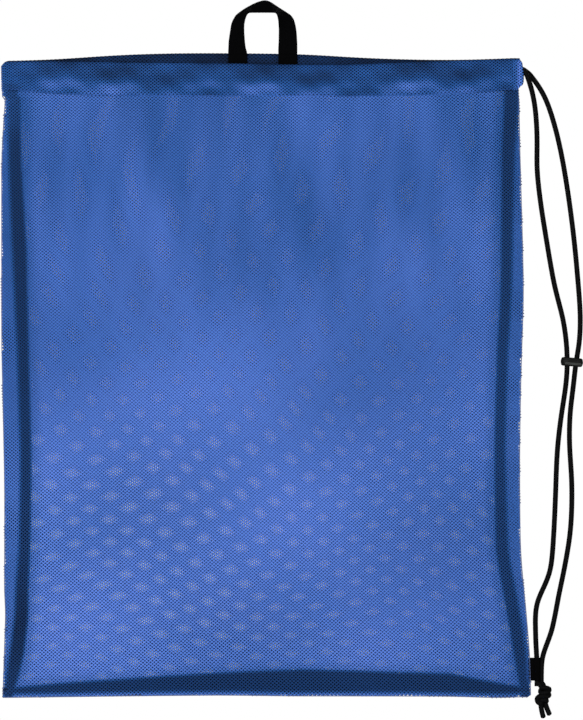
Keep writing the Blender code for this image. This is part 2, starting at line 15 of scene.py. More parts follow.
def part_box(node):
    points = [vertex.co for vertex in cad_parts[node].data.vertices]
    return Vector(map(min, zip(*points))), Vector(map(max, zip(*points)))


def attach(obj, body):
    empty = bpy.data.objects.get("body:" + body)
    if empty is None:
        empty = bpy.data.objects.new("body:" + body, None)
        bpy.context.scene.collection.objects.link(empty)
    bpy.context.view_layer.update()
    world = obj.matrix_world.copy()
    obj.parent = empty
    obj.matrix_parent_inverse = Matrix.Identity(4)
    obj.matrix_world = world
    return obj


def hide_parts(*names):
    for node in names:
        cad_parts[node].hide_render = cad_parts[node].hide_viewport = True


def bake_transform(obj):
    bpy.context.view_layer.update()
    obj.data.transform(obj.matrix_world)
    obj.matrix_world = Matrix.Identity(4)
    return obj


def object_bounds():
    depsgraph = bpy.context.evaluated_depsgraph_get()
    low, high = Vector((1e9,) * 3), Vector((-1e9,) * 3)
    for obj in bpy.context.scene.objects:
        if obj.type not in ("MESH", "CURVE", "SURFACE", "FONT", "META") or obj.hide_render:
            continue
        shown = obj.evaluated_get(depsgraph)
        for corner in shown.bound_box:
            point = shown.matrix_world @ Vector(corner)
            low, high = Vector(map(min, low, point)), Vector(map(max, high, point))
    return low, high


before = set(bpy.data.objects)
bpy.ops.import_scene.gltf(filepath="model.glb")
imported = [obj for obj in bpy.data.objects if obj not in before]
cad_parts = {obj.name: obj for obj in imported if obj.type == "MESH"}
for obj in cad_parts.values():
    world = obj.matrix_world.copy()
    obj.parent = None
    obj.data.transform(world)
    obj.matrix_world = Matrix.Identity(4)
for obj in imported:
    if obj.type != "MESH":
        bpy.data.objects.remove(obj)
CAD_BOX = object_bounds()
MM = 0.001
X, Y, Z = 0, 1, 2
SIDES = ("left", "right")
SIGN = {"front": -1, "back": 1}  # which way along Y each face looks

# Cloth: weave columns and rows per metre, each at the mouth and at the bottom,
# random seed, x shift, and tilt of the columns and of the rows
CLOTH = {
    "front": dict(col_rate=(268.0, 262.0), row_rate=(325.0, 290.0), seed=11,
                  x_shift=0.0012, lean=-0.040, rise=0.026),
    "back": dict(col_rate=(243.0, 232.0), row_rate=(328.0, 345.0), seed=23,
                 x_shift=-0.0007, lean=-0.050, rise=0.0165),
}
CLOTH_TOP = 0.084       # depth below the origin where the rates start to change
CLOTH_HEIGHT = 0.600    # and the height over which they change
YARN_LIT = 0.195        # lit half width of a yarn, in cells; beyond it is its flank
INNER_FACE_SHADE = 0.80           # painted shade: lightness of the cloth seen from its inner face

CORD_R = 2.60 * MM
RUN_R = 2.1 * MM        # cord inside the hems
CARRIERS = 4            # strands each way round the cord
LAY = 3.4 * MM          # length of one turn of a strand
TAPE_W = 19.0 * MM
RIB_PITCH = 1.1 * MM    # woven ribs of the tape
RIB_RELIEF = 0.05 * MM
STITCH_PITCH = 3.0 * MM

# --------------------------------------------------------- reading the frame
PLANE_NUDGE = 1.3e-7    # keeps cutting planes off vertices


def section(node, axis, value):
    """Segments where a node's surface crosses the plane axis = value."""
    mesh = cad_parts[node].data
    points = np.array([v.co for v in mesh.vertices], float).reshape(-1, 3)
    mesh.calc_loop_triangles()
    tris = np.array([t.vertices for t in mesh.loop_triangles], int).reshape(-1, 3)
    side = points[:, axis] - (value + PLANE_NUDGE)
    segments = []
    for tri in tris[(side[tris].min(1) < 0) & (side[tris].max(1) > 0)]:
        hits = []
        for i, j in ((0, 1), (1, 2), (2, 0)):
            start, end = side[tri[i]], side[tri[j]]
            if (start < 0) != (end < 0):
                hits.append(points[tri[i]] + (points[tri[j]] - points[tri[i]])
                            * (start / (start - end)))
        if len(hits) == 2:
            segments.append(hits)
    return np.array(segments).reshape(-1, 2, 3)


def soften(table, reach):
    """Running mean of 2 * reach + 1 entries, applied twice, ends kept."""
    for _ in range(2):
        padded = np.concatenate([2 * table[0] - table[reach:0:-1], table,
                                 2 * table[-1] - table[-2:-reach - 2:-1]])
        table = np.convolve(padded, np.ones(2 * reach + 1) / (2 * reach + 1), "valid")
    return table


def cut_table(node, axis, values, out_axis, pick, reach):
    """Softened pick(coordinates along out_axis) at each plane; gaps are filled."""
    found = []
    for value in values:
        segments = section(node, axis, value)
        found.append(pick(segments[..., out_axis]) if len(segments) else np.nan)
    found = np.array(found)
    good = ~np.isnan(found)
    return soften(np.interp(values, values[good], found[good]), reach)


def ease(t):
    """Smooth step from 0 to 1 as t goes from 0 to 1."""
    t = np.clip(t, 0.0, 1.0)
    return t * t * (3 - 2 * t)


def bell(offset, width):
    return np.exp(-(offset / width) ** 2)


def ripple(x, z, waves):
    """Sum of sine waves given as (size, x rate, z rate, phase)."""
    return sum(size * np.sin(x_rate * x + z_rate * z + phase)
               for size, x_rate, z_rate, phase in waves)


# outline of the cloth panels
Z_GRID = np.linspace(-0.6800, -0.0860, 149)
X_GRID = np.linspace(-0.2550, 0.2550, 128)
LEFT_TABLE = cut_table("front_panel", Z, Z_GRID, X, np.min, 4)
RIGHT_TABLE = cut_table("front_panel", Z, Z_GRID, X, np.max, 4)
FOOT_TABLE = cut_table("front_panel", X, X_GRID, Z, np.max, 4)
BOTTOM_TABLE = cut_table("front_panel", X, X_GRID, Z, np.min, 4)
Z_TOP = np.linspace(-0.0860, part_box("left_side_seam")[1].z - 0.0002, 30)
LEFT_TOP_TABLE = cut_table("left_side_seam", Z, Z_TOP, X, np.min, 2) - 0.0003


def left_x(z):
    """Left edge: the panel's, then the side seam's above the panel."""
    z = np.asarray(z, float)
    above = ease((z + 0.0850) / 0.0015)
    tuck = 1.5 * MM * ease((-z - 0.570) / 0.035)
    return (np.interp(z, Z_GRID, LEFT_TABLE) * (1 - above)
            + np.interp(z, Z_TOP, LEFT_TOP_TABLE) * above + tuck)


def right_x(z):
    return np.interp(np.asarray(z, float), Z_GRID, RIGHT_TABLE)


def bottom_z(x):
    lift = 1.2 * MM * (1 - ease((np.asarray(x, float) + 0.06) / 0.10))
    return np.interp(x, X_GRID, BOTTOM_TABLE) + lift


def foot_z(x):
    """Top of the panel, at the foot of the hem."""
    return np.interp(x, X_GRID, FOOT_TABLE)


PANEL = {face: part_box(face + "_panel") for face in SIGN}
EDGE_L, EDGE_R = float(PANEL["front"][0].x), float(PANEL["front"][1].x)
MID_Y = (PANEL["front"][0].y + PANEL["back"][1].y) / 2
FACING_LO, FACING_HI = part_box("front_exit_facing")

# -------------------------------------------------------------- mesh building


def mesh_object(name, verts, faces, mat, uv=None, tone=None, smooth=True):
    """faces is a list of (n, 3) or (n, 4) arrays; uv and tone are per vertex."""
    groups = [np.asarray(group, np.int32) for group in faces]
    loops = np.concatenate([group.ravel() for group in groups])
    counts = np.concatenate([np.full(len(g), g.shape[1], np.int32) for g in groups])
    starts = np.concatenate([[0], np.cumsum(counts)[:-1]]).astype(np.int32)
    mesh = bpy.data.meshes.new(name)
    mesh.vertices.add(len(verts))
    mesh.vertices.foreach_set("co", np.asarray(verts, np.float32).ravel())
    mesh.loops.add(len(loops))
    mesh.loops.foreach_set("vertex_index", loops)
    mesh.polygons.add(len(counts))
    mesh.polygons.foreach_set("loop_start", starts)
    mesh.update(calc_edges=True)
    mesh.validate()
    if uv is not None:
        layer = mesh.uv_layers.new(name="weave")
        corner = np.zeros(len(mesh.loops), np.int32)
        mesh.loops.foreach_get("vertex_index", corner)
        layer.data.foreach_set("uv", np.asarray(uv, np.float32)[corner].ravel())
    if tone is not None:
        layer = mesh.attributes.new("tone", "FLOAT", "POINT")
        layer.data.foreach_set("value", np.asarray(tone, np.float32))
    mesh.polygons.foreach_set("use_smooth", np.full(len(mesh.polygons), smooth))
    mesh.materials.append(mat)
    ob = bpy.data.objects.new(name, mesh)
    bpy.context.scene.collection.objects.link(ob)
    return ob


def half_steps(limits):
    return np.arange(math.floor(limits[0] * 2), math.ceil(limits[1] * 2) + 1)


def lattice(name, col_range, row_range, keep, place, share, mat, split=False,
            relief=0.10 * MM, flip=False):
    """A knitted net.  Knots sit at half steps of (col, row) whose sum is whole, and
    yarns run to the four diagonal neighbours.  share is the part of a cell the yarn
    covers, a number or a function of (col, row).  keep(col, row) says which knots
    exist; place(col, row) gives (xyz, tone).  Returns a list of one object, or of
    a left and a right one that meet at column 0."""
    cols, rows = np.meshgrid(half_steps(col_range), half_steps(row_range), indexing="ij")
    there = ((cols + rows) % 2 == 0) & keep(cols / 2.0, rows / 2.0)
    parts = [(name, there, there)]
    if split:  # knots on column 0 are in both parts, their faces only in the left
        parts = [(name + "_left", there & (cols <= 0), there & (cols <= 0)),
                 (name + "_right", there & (cols >= 0), there & (cols > 0))]
    made = []
    for part_name, mask, faced in parts:
        index = np.full(mask.shape, -1, np.int64)
        index[mask] = np.arange(mask.sum())
        col, row = cols[mask] / 2.0, rows[mask] / 2.0
        half = (share(col, row) if callable(share) else share) / 2.0
        corners = ((-half, 0.0, relief), (0.0, -half, -relief),
                   (half, 0.0, relief), (0.0, half, -relief))
        points, uvs, tones = [], [], []
        for d_col, d_row, lift in corners:
            xyz, tone = place(col + d_col, row + d_row)
            xyz[:, 1] += lift
            points.append(xyz)
            uvs.append(np.stack([col + d_col, row + d_row], 1))
            tones.append(tone)
        knot = index[faced] * 4
        quads = [np.stack([knot, knot + 1, knot + 2, knot + 3], 1)]
        # yarns towards rising and falling columns, with their corners of the knots
        for near, far, (c0, c1, c2, c3) in (
                (index[:-1, :-1], index[1:, 1:], (2, 1, 0, 3)),
                (index[1:, :-1], index[:-1, 1:], (3, 2, 1, 0))):
            both = (near >= 0) & (far >= 0)
            near, far = near[both] * 4, far[both] * 4
            quads.append(np.stack([near + c0, far + c1, far + c2, near + c3], 1))
        quads = np.concatenate(quads)
        if flip:
            quads = quads[:, ::-1]
        made.append(mesh_object(
            part_name, np.stack(points, 1).reshape(-1, 3), [quads], mat,
            np.stack(uvs, 1).reshape(-1, 2), np.stack(tones, 1).reshape(-1), smooth=False))
    return made


def path_lengths(points):
    """Distance along a polyline at each of its points."""
    return np.concatenate([[0], np.cumsum(np.linalg.norm(np.diff(points, axis=0), axis=1))])


def resample(points, step):
    points = np.asarray(points, float)
    along = path_lengths(points)
    count = max(2, int(round(along[-1] / step)) + 1)
    at = np.linspace(0, along[-1], count)
    return np.stack([np.interp(at, along, points[:, i]) for i in range(3)], 1)


def smooth_path(points, step, rounds=3):
    """Corner-cut a polyline and space it evenly."""
    points = np.asarray(points, float)
    for _ in range(rounds):
        early = points[:-1] * 0.75 + points[1:] * 0.25
        late = points[:-1] * 0.25 + points[1:] * 0.75
        points = np.concatenate([points[:1], np.stack([early, late], 1).reshape(-1, 3),
                                 points[-1:]])
    return resample(points, step)


def frames(points):
    """Side and top vectors along a polyline, without twist."""
    tangent = np.gradient(points, axis=0)
    tangent /= np.linalg.norm(tangent, axis=1)[:, None]
    sides = np.zeros_like(points)
    side = np.cross(tangent[0], (0.0, 1.0, 0.0))
    if np.linalg.norm(side) < 1e-6:
        side = np.cross(tangent[0], (0.0, 0.0, 1.0))
    for i in range(len(points)):
        side = side - tangent[i] * (side @ tangent[i])
        side /= np.linalg.norm(side)
        sides[i] = side
    return sides, np.cross(sides, tangent)


def circle(count):
    return np.arange(count) * 2 * math.pi / count


def tube_verts(points, radii, sides):
    """Rings round a polyline, then its two end points; radii is (rings, sides or 1)."""
    side, top = frames(points)
    angle = circle(sides)[None, :, None]
    rings = points[:, None, :] + radii[..., None] * (
        np.cos(angle) * side[:, None, :] + np.sin(angle) * top[:, None, :])
    return np.concatenate([rings.reshape(-1, 3), points[[0, -1]]])


def tube_faces(rings, sides, base=0):
    """Wall quads and cap triangles; the cap centres follow the last ring."""
    row = base + np.arange(rings - 1)[:, None] * sides
    j = np.arange(sides)
    after = (j + 1) % sides
    quads = np.stack([row + j, row + after, row + sides + after, row + sides + j], -1)
    centre, last = base + rings * sides, base + (rings - 1) * sides
    caps = [np.stack([np.full(sides, centre), base + after, base + j], 1),
            np.stack([np.full(sides, centre + 1), last + j, last + after], 1)]
    return [quads.reshape(-1, 4), np.concatenate(caps)]


def cord_mesh(name, points, radius, step=0.6 * MM, sides=24, round_end=False):
    """A braided cord: two families of strands wind both ways round it."""
    points = resample(points, step)
    along = path_lengths(points)
    angle = circle(sides)
    winding = 2 * math.pi * along[:, None] / LAY
    phase_a = CARRIERS * angle[None, :] + winding
    phase_b = CARRIERS * angle[None, :] - winding
    radii = radius * (0.945 + 0.055 * np.cos(phase_a) * np.cos(phase_b)
                      + 0.025 * np.abs(np.cos(phase_a * 0.5 + phase_b * 0.5)))
    if round_end:
        inward = np.clip((along[-1] - along) / (0.7 * radius), 0, 1)
        radii = radii * np.sqrt(np.clip(1 - (1 - inward) ** 2, 0.02, 1))[:, None]
    uv = np.stack([np.repeat(along / LAY, sides),
                   np.tile(angle / (2 * math.pi) * CARRIERS, len(points))], 1)
    return mesh_object(name, tube_verts(points, radii, sides),
                       tube_faces(len(points), sides), CORD,
                       np.concatenate([uv, [[0, 0], [0, 0]]]))


def thread_mesh(name, paths, radius, mat, sides=6):
    """Many sewing threads as one object, thinner at their ends."""
    verts, quads, caps, base = [], [], [], 0
    for points in paths:
        taper = np.ones(len(points))
        taper[0] = taper[-1] = 0.45
        verts.append(tube_verts(points, (radius * taper)[:, None], sides))
        walls, ends = tube_faces(len(points), sides, base)
        quads.append(walls)
        caps.append(ends)
        base += len(verts[-1])
    return mesh_object(name, np.concatenate(verts),
                       [np.concatenate(quads), np.concatenate(caps)], mat)


def slab_faces(rows, cols, flip=False):
    """Closed strip of two point grids, one stored after the other."""
    other = rows * cols
    i = np.arange(rows - 1)[:, None] * cols
    j = np.arange(cols - 1)[None, :]
    order = [0, 3, 2, 1] if flip else [0, 1, 2, 3]
    face = np.stack([i + j, i + cols + j, i + cols + j + 1, i + j + 1], -1)
    face = face.reshape(-1, 4)[:, order]
    first = np.arange(rows - 1) * cols
    last = first + cols - 1
    start = np.arange(cols - 1)
    end = (rows - 1) * cols + start
    rims = [(first, first + other, first + cols + other, first + cols),
            (last, last + cols, last + cols + other, last + other),
            (start, start + 1, start + 1 + other, start + other),
            (end, end + other, end + 1 + other, end + 1)]
    return [np.concatenate([face, face[:, ::-1] + other]
                           + [np.stack(rim, 1)[:, order] for rim in rims])]


# ------------------------------------------------------------------ materials


class Shader:
    """A material with calls that add nodes; keywords set Principled inputs."""

    def __init__(self, name, **inputs):
        self.mat = bpy.data.materials.new(name)
        self.mat.use_nodes = True
        self.tree = self.mat.node_tree
        self.principled = self.tree.nodes["Principled BSDF"]
        for key, value in inputs.items():
            self.principled.inputs[key.replace("_", " ")].default_value = value

    def add(self, kind, **values):
        """New node; each value is a property or, failing that, an input."""
        new = self.tree.nodes.new("ShaderNode" + kind)
        for key, value in values.items():
            if hasattr(new, key):
                setattr(new, key, value)
            else:
                new.inputs[key.replace("_", " ")].default_value = value
        return new

    def link(self, source, socket):
        self.tree.links.new(source, socket)

    def feed(self, source, key):
        self.link(source, self.principled.inputs[key])

    def math(self, operation, *values, clamp=False):
        new = self.add("Math", operation=operation, use_clamp=clamp)
        for socket, value in zip(new.inputs, values):
            if isinstance(value, (int, float)):
                socket.default_value = value
            else:
                self.link(value, socket)
        return new.outputs[0]

    def times(self, a, b):
        return self.math("MULTIPLY", a, b)

    def plus(self, a, b, clamp=False):
        return self.math("ADD", a, b, clamp=clamp)

    def minus(self, a, b):
        return self.math("SUBTRACT", a, b)

    def weave_map(self):
        """The weave UV as a vector and as its two coordinates."""
        uv = self.add("UVMap", uv_map="weave").outputs[0]
        parts = self.add("SeparateXYZ")
        self.link(uv, parts.inputs[0])
        return uv, parts.outputs[0], parts.outputs[1]

    def noise(self, vector, scale, detail, roughness=0.5):
        new = self.add("TexNoise", Scale=scale, Detail=detail, Roughness=roughness)
        self.link(vector, new.inputs["Vector"])
        return new.outputs["Fac"]

    def mix(self, factor, first, second):
        new = self.add("Mix", data_type="RGBA")
        new.inputs[6].default_value = (*first, 1)
        new.inputs[7].default_value = (*second, 1)
        self.link(factor, new.inputs[0])
        return new.outputs[2]

    def ramp_colour(self, factor, dark, light):
        new = self.add("ValToRGB")
        for element, colour in zip(new.color_ramp.elements, (dark, light)):
            element.color = (*colour, 1)
        self.link(factor, new.inputs[0])
        self.feed(new.outputs[0], "Base Color")

    def bump(self, height, strength, distance):
        new = self.add("Bump", Strength=strength, Distance=distance)
        self.link(height, new.inputs["Height"])
        self.feed(new.outputs[0], "Normal")


def product_shader(name, rough, specular, sheen=0.0, **inputs):
    return Shader(name, Roughness=rough, Specular_IOR_Level=specular,
                  Sheen_Weight=sheen, Sheen_Roughness=0.4, **inputs)


def cloth_material(name):
    """Knitted polyester.  The weave map paints each yarn a rounded lit top as a painted
    highlight, a dark flank towards the hole as painted shadow, and its grain; the tone
    attribute scales it with painted light and shade, and inner faces get painted shade."""
    rough = 0.55
    deep, light = (0.020, 0.098, 0.350), (0.078, 0.150, 0.475)
    flank_soft = 0.04
    crown, crown_fall, flank_shadow = 1.345, 0.45, 0.92   # painted highlight on the yarn's crown, painted shadow on its flank
    sh = product_shader(name, rough, specular=0.05, sheen=0.03,
                        Sheen_Tint=(0.45, 0.6, 1.0, 1))
    uv, u, v = sh.weave_map()
    tone = sh.add("Attribute", attribute_name="tone").outputs["Fac"]
    geometry = sh.add("NewGeometry")
    cloud = sh.noise(geometry.outputs["Position"], scale=14.0, detail=3.0)
    fibre = sh.noise(uv, scale=7.0, detail=4.0, roughness=0.7)
    # distance in cells from the nearer yarn's middle
    off = sh.math("MINIMUM", sh.math("PINGPONG", sh.minus(u, v), 0.5),
                  sh.math("PINGPONG", sh.plus(u, v), 0.5))
    flank = sh.add("MapRange", interpolation_type="SMOOTHSTEP",
                   From_Min=YARN_LIT - flank_soft, From_Max=YARN_LIT + flank_soft)
    sh.link(off, flank.inputs["Value"])
    off = sh.times(off, 2.6)
    # painted highlight falling off across the yarn, then painted shadow on the flank
    rounding = sh.times(off, off)
    shade = sh.minus(crown, sh.times(rounding, crown_fall))
    shade = sh.times(shade, sh.minus(1.0, sh.times(flank.outputs[0], flank_shadow)))
    # share of the light colour: clouds, fibres and the piece's tone, which carries painted
    # light and shade
    lightness = sh.plus(sh.plus(sh.times(cloud, 0.35), sh.times(fibre, 0.45)),
                        sh.times(sh.minus(tone, 0.82), 1.6), clamp=True)
    colour = sh.mix(lightness, deep, light)
    # painted shade on the cloth's inner faces
    inside = sh.minus(1.0, sh.times(geometry.outputs["Backfacing"], 1.0 - INNER_FACE_SHADE))
    scaled = sh.add("VectorMath", operation="SCALE")
    sh.link(colour, scaled.inputs[0])
    sh.link(sh.times(sh.times(tone, shade), inside), scaled.inputs["Scale"])
    sh.feed(scaled.outputs[0], "Base Color")
    sh.bump(sh.minus(sh.times(fibre, 0.6), rounding), strength=0.6, distance=0.20 * MM)
    sh.feed(sh.plus(sh.times(fibre, 0.25), rough - 0.12), "Roughness")
    return sh.mat


def woven_shading(sh, uv, wave_a, wave_b, grain, weights, dark, light, bump):
    """Colour and relief from two crossed strand waves and fibre noise.  grain is
    the noise's settings, weights the share of weave and of fibre."""
    weave = sh.times(sh.math("SINE", wave_a), sh.math("SINE", wave_b))
    fibre = sh.noise(uv, **grain)
    factor = sh.plus(sh.times(weave, weights[0]), sh.times(fibre, weights[1]), clamp=True)
    sh.ramp_colour(factor, dark, light)
    sh.bump(sh.plus(weave, fibre), **bump)
    return sh.mat


TURN = 6.2832


def braid_material(name):
    """Strands crossing diagonally round the cord."""
    sh = product_shader(name, rough=0.66, specular=0.04, Sheen_Tint=(0.7, 0.75, 0.85, 1))
    uv, u, v = sh.weave_map()
    return woven_shading(
        sh, uv, sh.times(sh.plus(u, v), TURN), sh.times(sh.minus(u, v), TURN),
        grain=dict(scale=26.0, detail=4.0, roughness=0.75), weights=(0.28, 0.85),
        dark=(0.0003, 0.0003, 0.0003), light=(0.0045, 0.0045, 0.0048),
        bump=dict(strength=0.7, distance=0.18 * MM))


def webbing_material(name):
    """Woven tape: ribs 1.1 mm apart crossed by warps 1.6 mm apart; its UV is in mm."""
    sh = product_shader(name, rough=0.75, specular=0.02, Sheen_Tint=(0.6, 0.65, 0.75, 1))
    uv, u, v = sh.weave_map()
    return woven_shading(
        sh, uv, sh.times(u, TURN / 1.1), sh.times(v, TURN / 1.6),
        grain=dict(scale=3.0, detail=4.0, roughness=0.7), weights=(0.22, 0.75),
        dark=(0.0003, 0.0003, 0.0004), light=(0.0022, 0.0022, 0.0026),
        bump=dict(strength=0.8, distance=0.25 * MM))


def plastic_material(name, highlight_gain=1.0):
    """Black plastic; a gain above 1 lightens it into a painted highlight."""
    sh = product_shader(name, rough=0.40, specular=0.055 * highlight_gain)
    position = sh.add("NewGeometry").outputs["Position"]
    grain = sh.noise(position, scale=1400.0, detail=2.0)
    cloud = sh.noise(position, scale=160.0, detail=3.0)
    sh.ramp_colour(cloud, dark=[c * highlight_gain**2 for c in (0.002, 0.0022, 0.002)],
                   light=[c * highlight_gain**2 for c in (0.006, 0.0064, 0.006)])
    sh.feed(sh.plus(sh.times(cloud, 0.2), 0.30), "Roughness")
    sh.bump(grain, strength=0.25, distance=0.06 * MM)
    return sh.mat


def thread_material(name, colour):
    sh = product_shader(name, rough=0.55, specular=0.15, sheen=0.05)
    twist = sh.add("TexWave", Scale=900.0, Distortion=1.5, bands_direction="DIAGONAL")
    sh.link(sh.add("NewGeometry").outputs["Position"], twist.inputs["Vector"])
    twist = twist.outputs["Fac"]
    sh.feed(sh.mix(twist, [c * 0.75 for c in colour], colour), "Base Color")
    sh.bump(twist, strength=0.5, distance=0.08 * MM)
    return sh.mat


MESH = cloth_material("mesh_cloth")
HEM = cloth_material("hem_cloth")
CORD = braid_material("cord")
TAPE = webbing_material("webbing")
PLASTIC = plastic_material("slider_plastic")
# lightened plastic for the bead's painted highlight band
PLASTIC_HIGHLIGHT = plastic_material("slider_plastic_highlight", highlight_gain=2.5)
THREAD = thread_material("thread", (0.018, 0.085, 0.34))
# lighter than the sewing thread: thread colour plus a painted highlight where the edge loops
# catch the light
EDGE_THREAD = thread_material("edge_thread", (0.105, 0.145, 0.30))


def label(ob, nodes):
    if nodes:
        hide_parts(*nodes)


def put(ob, body, slot, *nodes):
    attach(ob, body)
    label(ob, nodes)


def blend_z(ob, first, second, z_start, z_end, slot, *nodes):
    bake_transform(ob)
    label(ob, nodes)


def dress(ob, face, side, slot, *nodes):
    """Back pieces ride the bag.  Front pieces are baked in place and ride no body."""
    if face == "back":
        put(ob, "bag", slot, *nodes)
        return
    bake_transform(ob)
    label(ob, nodes)


def dress_pair(pair, face, slot, node):
    """A left and a right piece; the left one stands for the node."""
    dress(pair[0], face, "left", slot, node)
    dress(pair[1], face, "right", slot)


# --------------------------------------------------------------- cloth panels


def layer_maps(col_rate, row_rate, seed, x_shift, lean, rise):
    """Map from (col, row) to (x, z), and from z to row, for one layer of cloth."""
    z_table = np.linspace(-0.72, -0.02, 1401)

    def rate_at(rates, z):
        down = np.clip((-z - CLOTH_TOP) / CLOTH_HEIGHT, 0, 1)
        return rates[0] + (rates[1] - rates[0]) * down

    rate = rate_at(row_rate, z_table)
    rows = np.concatenate([[0], np.cumsum((rate[1:] + rate[:-1]) / 2 * np.diff(z_table))])
    phase = np.random.default_rng(seed).uniform(0, 2 * math.pi, 8)

    def to_xz(col, row):
        z = np.interp(row, rows, z_table)
        x = x_shift + col / rate_at(col_rate, z) + lean * (z + 0.38)
        z = z + rise * x
        dx = ripple(x, z, ((1.0, 6, 11, phase[0]), (0.5, -9, 27, phase[1]),
                           (0.22, 31, 52, phase[2])))
        dz = ripple(x, z, ((0.9, 8, 7, phase[3]), (0.45, 23, -12, phase[4]),
                           (0.22, 49, 37, phase[5])))
        return x + dx * MM, z + dz * MM

    return to_xz, lambda z: np.interp(z, z_table, rows)


def edge_distance(x, z):
    """Distances in from the left, right and bottom edges."""
    return x - left_x(z), right_x(z) - x, z - bottom_z(x)


# Bands of painted shade where the folded seam allowance lies behind the cloth: z, then mm in
# from the edge to the near and far side of the left band and of the right band
SIDE_BANDS = np.array([
    (-0.686, 0.5, 9.0, 0.5, 9.0),
    (-0.660, 3.0, 16.0, 2.0, 13.0),
    (-0.640, 5.5, 20.0, 3.5, 16.0),
    (-0.606, 9.0, 23.0, 5.5, 19.0),
    (-0.536, 14.5, 26.0, 12.5, 25.0),
    (-0.436, 16.5, 28.0, 14.5, 25.5),
    (-0.336, 15.5, 27.5, 14.0, 25.0),
    (-0.236, 11.0, 25.5, 10.5, 22.0),
    (-0.136, 6.5, 19.5, 5.0, 18.5),
    (-0.086, 3.0, 16.0, 0.0, 15.0),
])
BAND_COLUMN = {"left": 1, "right": 3}
BOTTOM_NEAR = 3.4 * MM
# x, and mm up from the edge to the far side of the bottom band
BOTTOM_BAND = np.array([(-0.262, 9.0), (-0.200, 14.0), (-0.112, 19.0),
                        (0.038, 27.0), (0.188, 23.0), (0.262, 10.0)])


def band_near(side, along):
    if side == "bottom":
        return BOTTOM_NEAR
    return np.interp(along, SIDE_BANDS[:, 0], SIDE_BANDS[:, BAND_COLUMN[side]]) * MM


def band_far(side, along):
    if side == "bottom":
        return np.interp(along, *BOTTOM_BAND.T) * MM
    return np.interp(along, SIDE_BANDS[:, 0], SIDE_BANDS[:, BAND_COLUMN[side] + 1]) * MM


def plateau(value, low, high, soft):
    """1 between low and high, easing to 0 over soft either side of each."""
    return (ease((value - low + soft) / (2 * soft))
            * (1 - ease((value - high + soft) / (2 * soft))))


def band_shade(x, z):
    """How much painted shade darkens the cloth over the allowance, 0 to 1."""
    from_left, from_right, up = edge_distance(x, z)
    near_l, near_r = band_near("left", z), band_near("right", z)
    far_l, far_r, far_b = band_far("left", z), band_far("right", z), band_far("bottom", x)
    top = 0.75 + 0.25 * ease((-z - 0.095) / 0.04)
    left = (top + 0.13 * bell(z + 0.61, 0.04)) * plateau(from_left, near_l, far_l, 2.6 * MM)
    right = 0.89 * plateau(from_right, near_r, far_r, 2.4 * MM)
    bottom = plateau(up, BOTTOM_NEAR, far_b, 3.0 * MM)
    # faint shade inward of the bands
    over = 0.16 * (1 - ease((up - far_b) / (12 * MM)))
    past = np.minimum(from_left - far_l, from_right - far_r)
    beside = np.where(np.minimum(from_left - near_l, from_right - near_r) > 0,
                      0.24 * (1 - ease(past / (14 * MM))), 0)
    return np.maximum.reduce([left, right, bottom, over, beside])


def openness(x, z):
    """Where the cloth is stretched and its holes larger: low, left of the middle."""
    low = ease((-z - 0.33) / 0.16) * (1 - 0.5 * ease((-z - 0.60) / 0.06))
    return low * (0.35 + 0.65 * bell(x + 0.10, 0.17))


def panel_tone(x, z):
    """Lightness of the cloth: a slow gradient of painted sheen, lighter low in the middle;
    clouds; streaks of painted fold shade in the upper half; a little darker near the seams;
    painted shade bands.
    """
    # painted sheen: lighter low in the middle
    low = ease((-z - 0.13) / 0.34) * (0.54 + 0.48 * bell(x + 0.13, 0.26))
    tone = 0.79 + 0.225 * low
    tone = tone * (1 + ripple(x, z, ((0.045, 21, 13, 1.0), (0.035, -17, 33, 0))))
    # painted shade of soft folds in the upper half
    high = ease((z + 0.40) / 0.22)
    fold_shade_streaks = 0.055 * np.sin(150 * x + 9 * z) * np.sin(47 * x - 24 * z + 0.7)
    tone = tone * (1 + high * (fold_shade_streaks + 0.040 * np.sin(58 * x + 31 * z + 2.0)))
    from_left, from_right, _ = edge_distance(x, z)
    strip = np.minimum(from_left - band_near("left", z), from_right - band_near("right", z))
    tone = tone * (1 - 0.21 * (1 - ease((strip + 2 * MM) / (4 * MM))))
    # painted shade over the seam allowance bands
    return tone * (1 - 0.73 * band_shade(x, z))


def panel_depth(x, z, face, seed):
    """y of the cloth: closed at the seams, full inside, with waves and one crease."""
    puff = ease(np.clip(np.minimum.reduce(edge_distance(x, z)), 0, 1) / (20 * MM))
    closed = 0.45 * MM
    full = abs((PANEL[face][0].y + PANEL[face][1].y) / 2 - MID_Y)
    phase = np.random.default_rng(seed).uniform(0, 2 * math.pi, 6)
    wave = ripple(x, z, ((0.30, 15, 9, phase[0]), (0.22, -12, 31, phase[1]),
                         (0.14, 48, 21, phase[2]))) * MM
    crease = -0.45 * MM * bell(z + 0.3585 + 0.002 * np.sin(9 * x), 0.0022)
    return MID_Y + SIGN[face] * (closed + (full - closed) * puff + (wave + crease) * puff)


def panel_layer(face):
    cloth = CLOTH[face]
    to_xz, row_at = layer_maps(**cloth)

    def keep(col, row):
        x, z = to_xz(col, row)
        from_left, from_right, up = edge_distance(x, z)
        return ((from_left > 0.55 * MM) & (from_right > 0.35 * MM) & (up > 0.35 * MM)
                & (z < foot_z(x) + 2.4 * MM))

    def place(col, row):
        x, z = to_xz(col, row)
        y = panel_depth(x, z, face, cloth["seed"] + 7)
        return np.stack([x, y, z], 1), panel_tone(x, z)

    def share(col, row):
        x, z = to_xz(col, row)
        if face == "front":
            return 0.59 - 0.04 * openness(x, z)
        return 0.87 + 0.03 * ease((z + 0.44) / 0.16) - 0.13 * openness(x, z)

    reach = 0.30 * cloth["col_rate"][0]
    return lattice(face + "_mesh", (-reach, reach), (row_at(-0.705), row_at(-0.05)),
                   keep, place, share, MESH, split=True, flip=face == "back")


for face in SIGN:
    dress_pair(panel_layer(face), face, "mesh_cloth", face + "_panel")

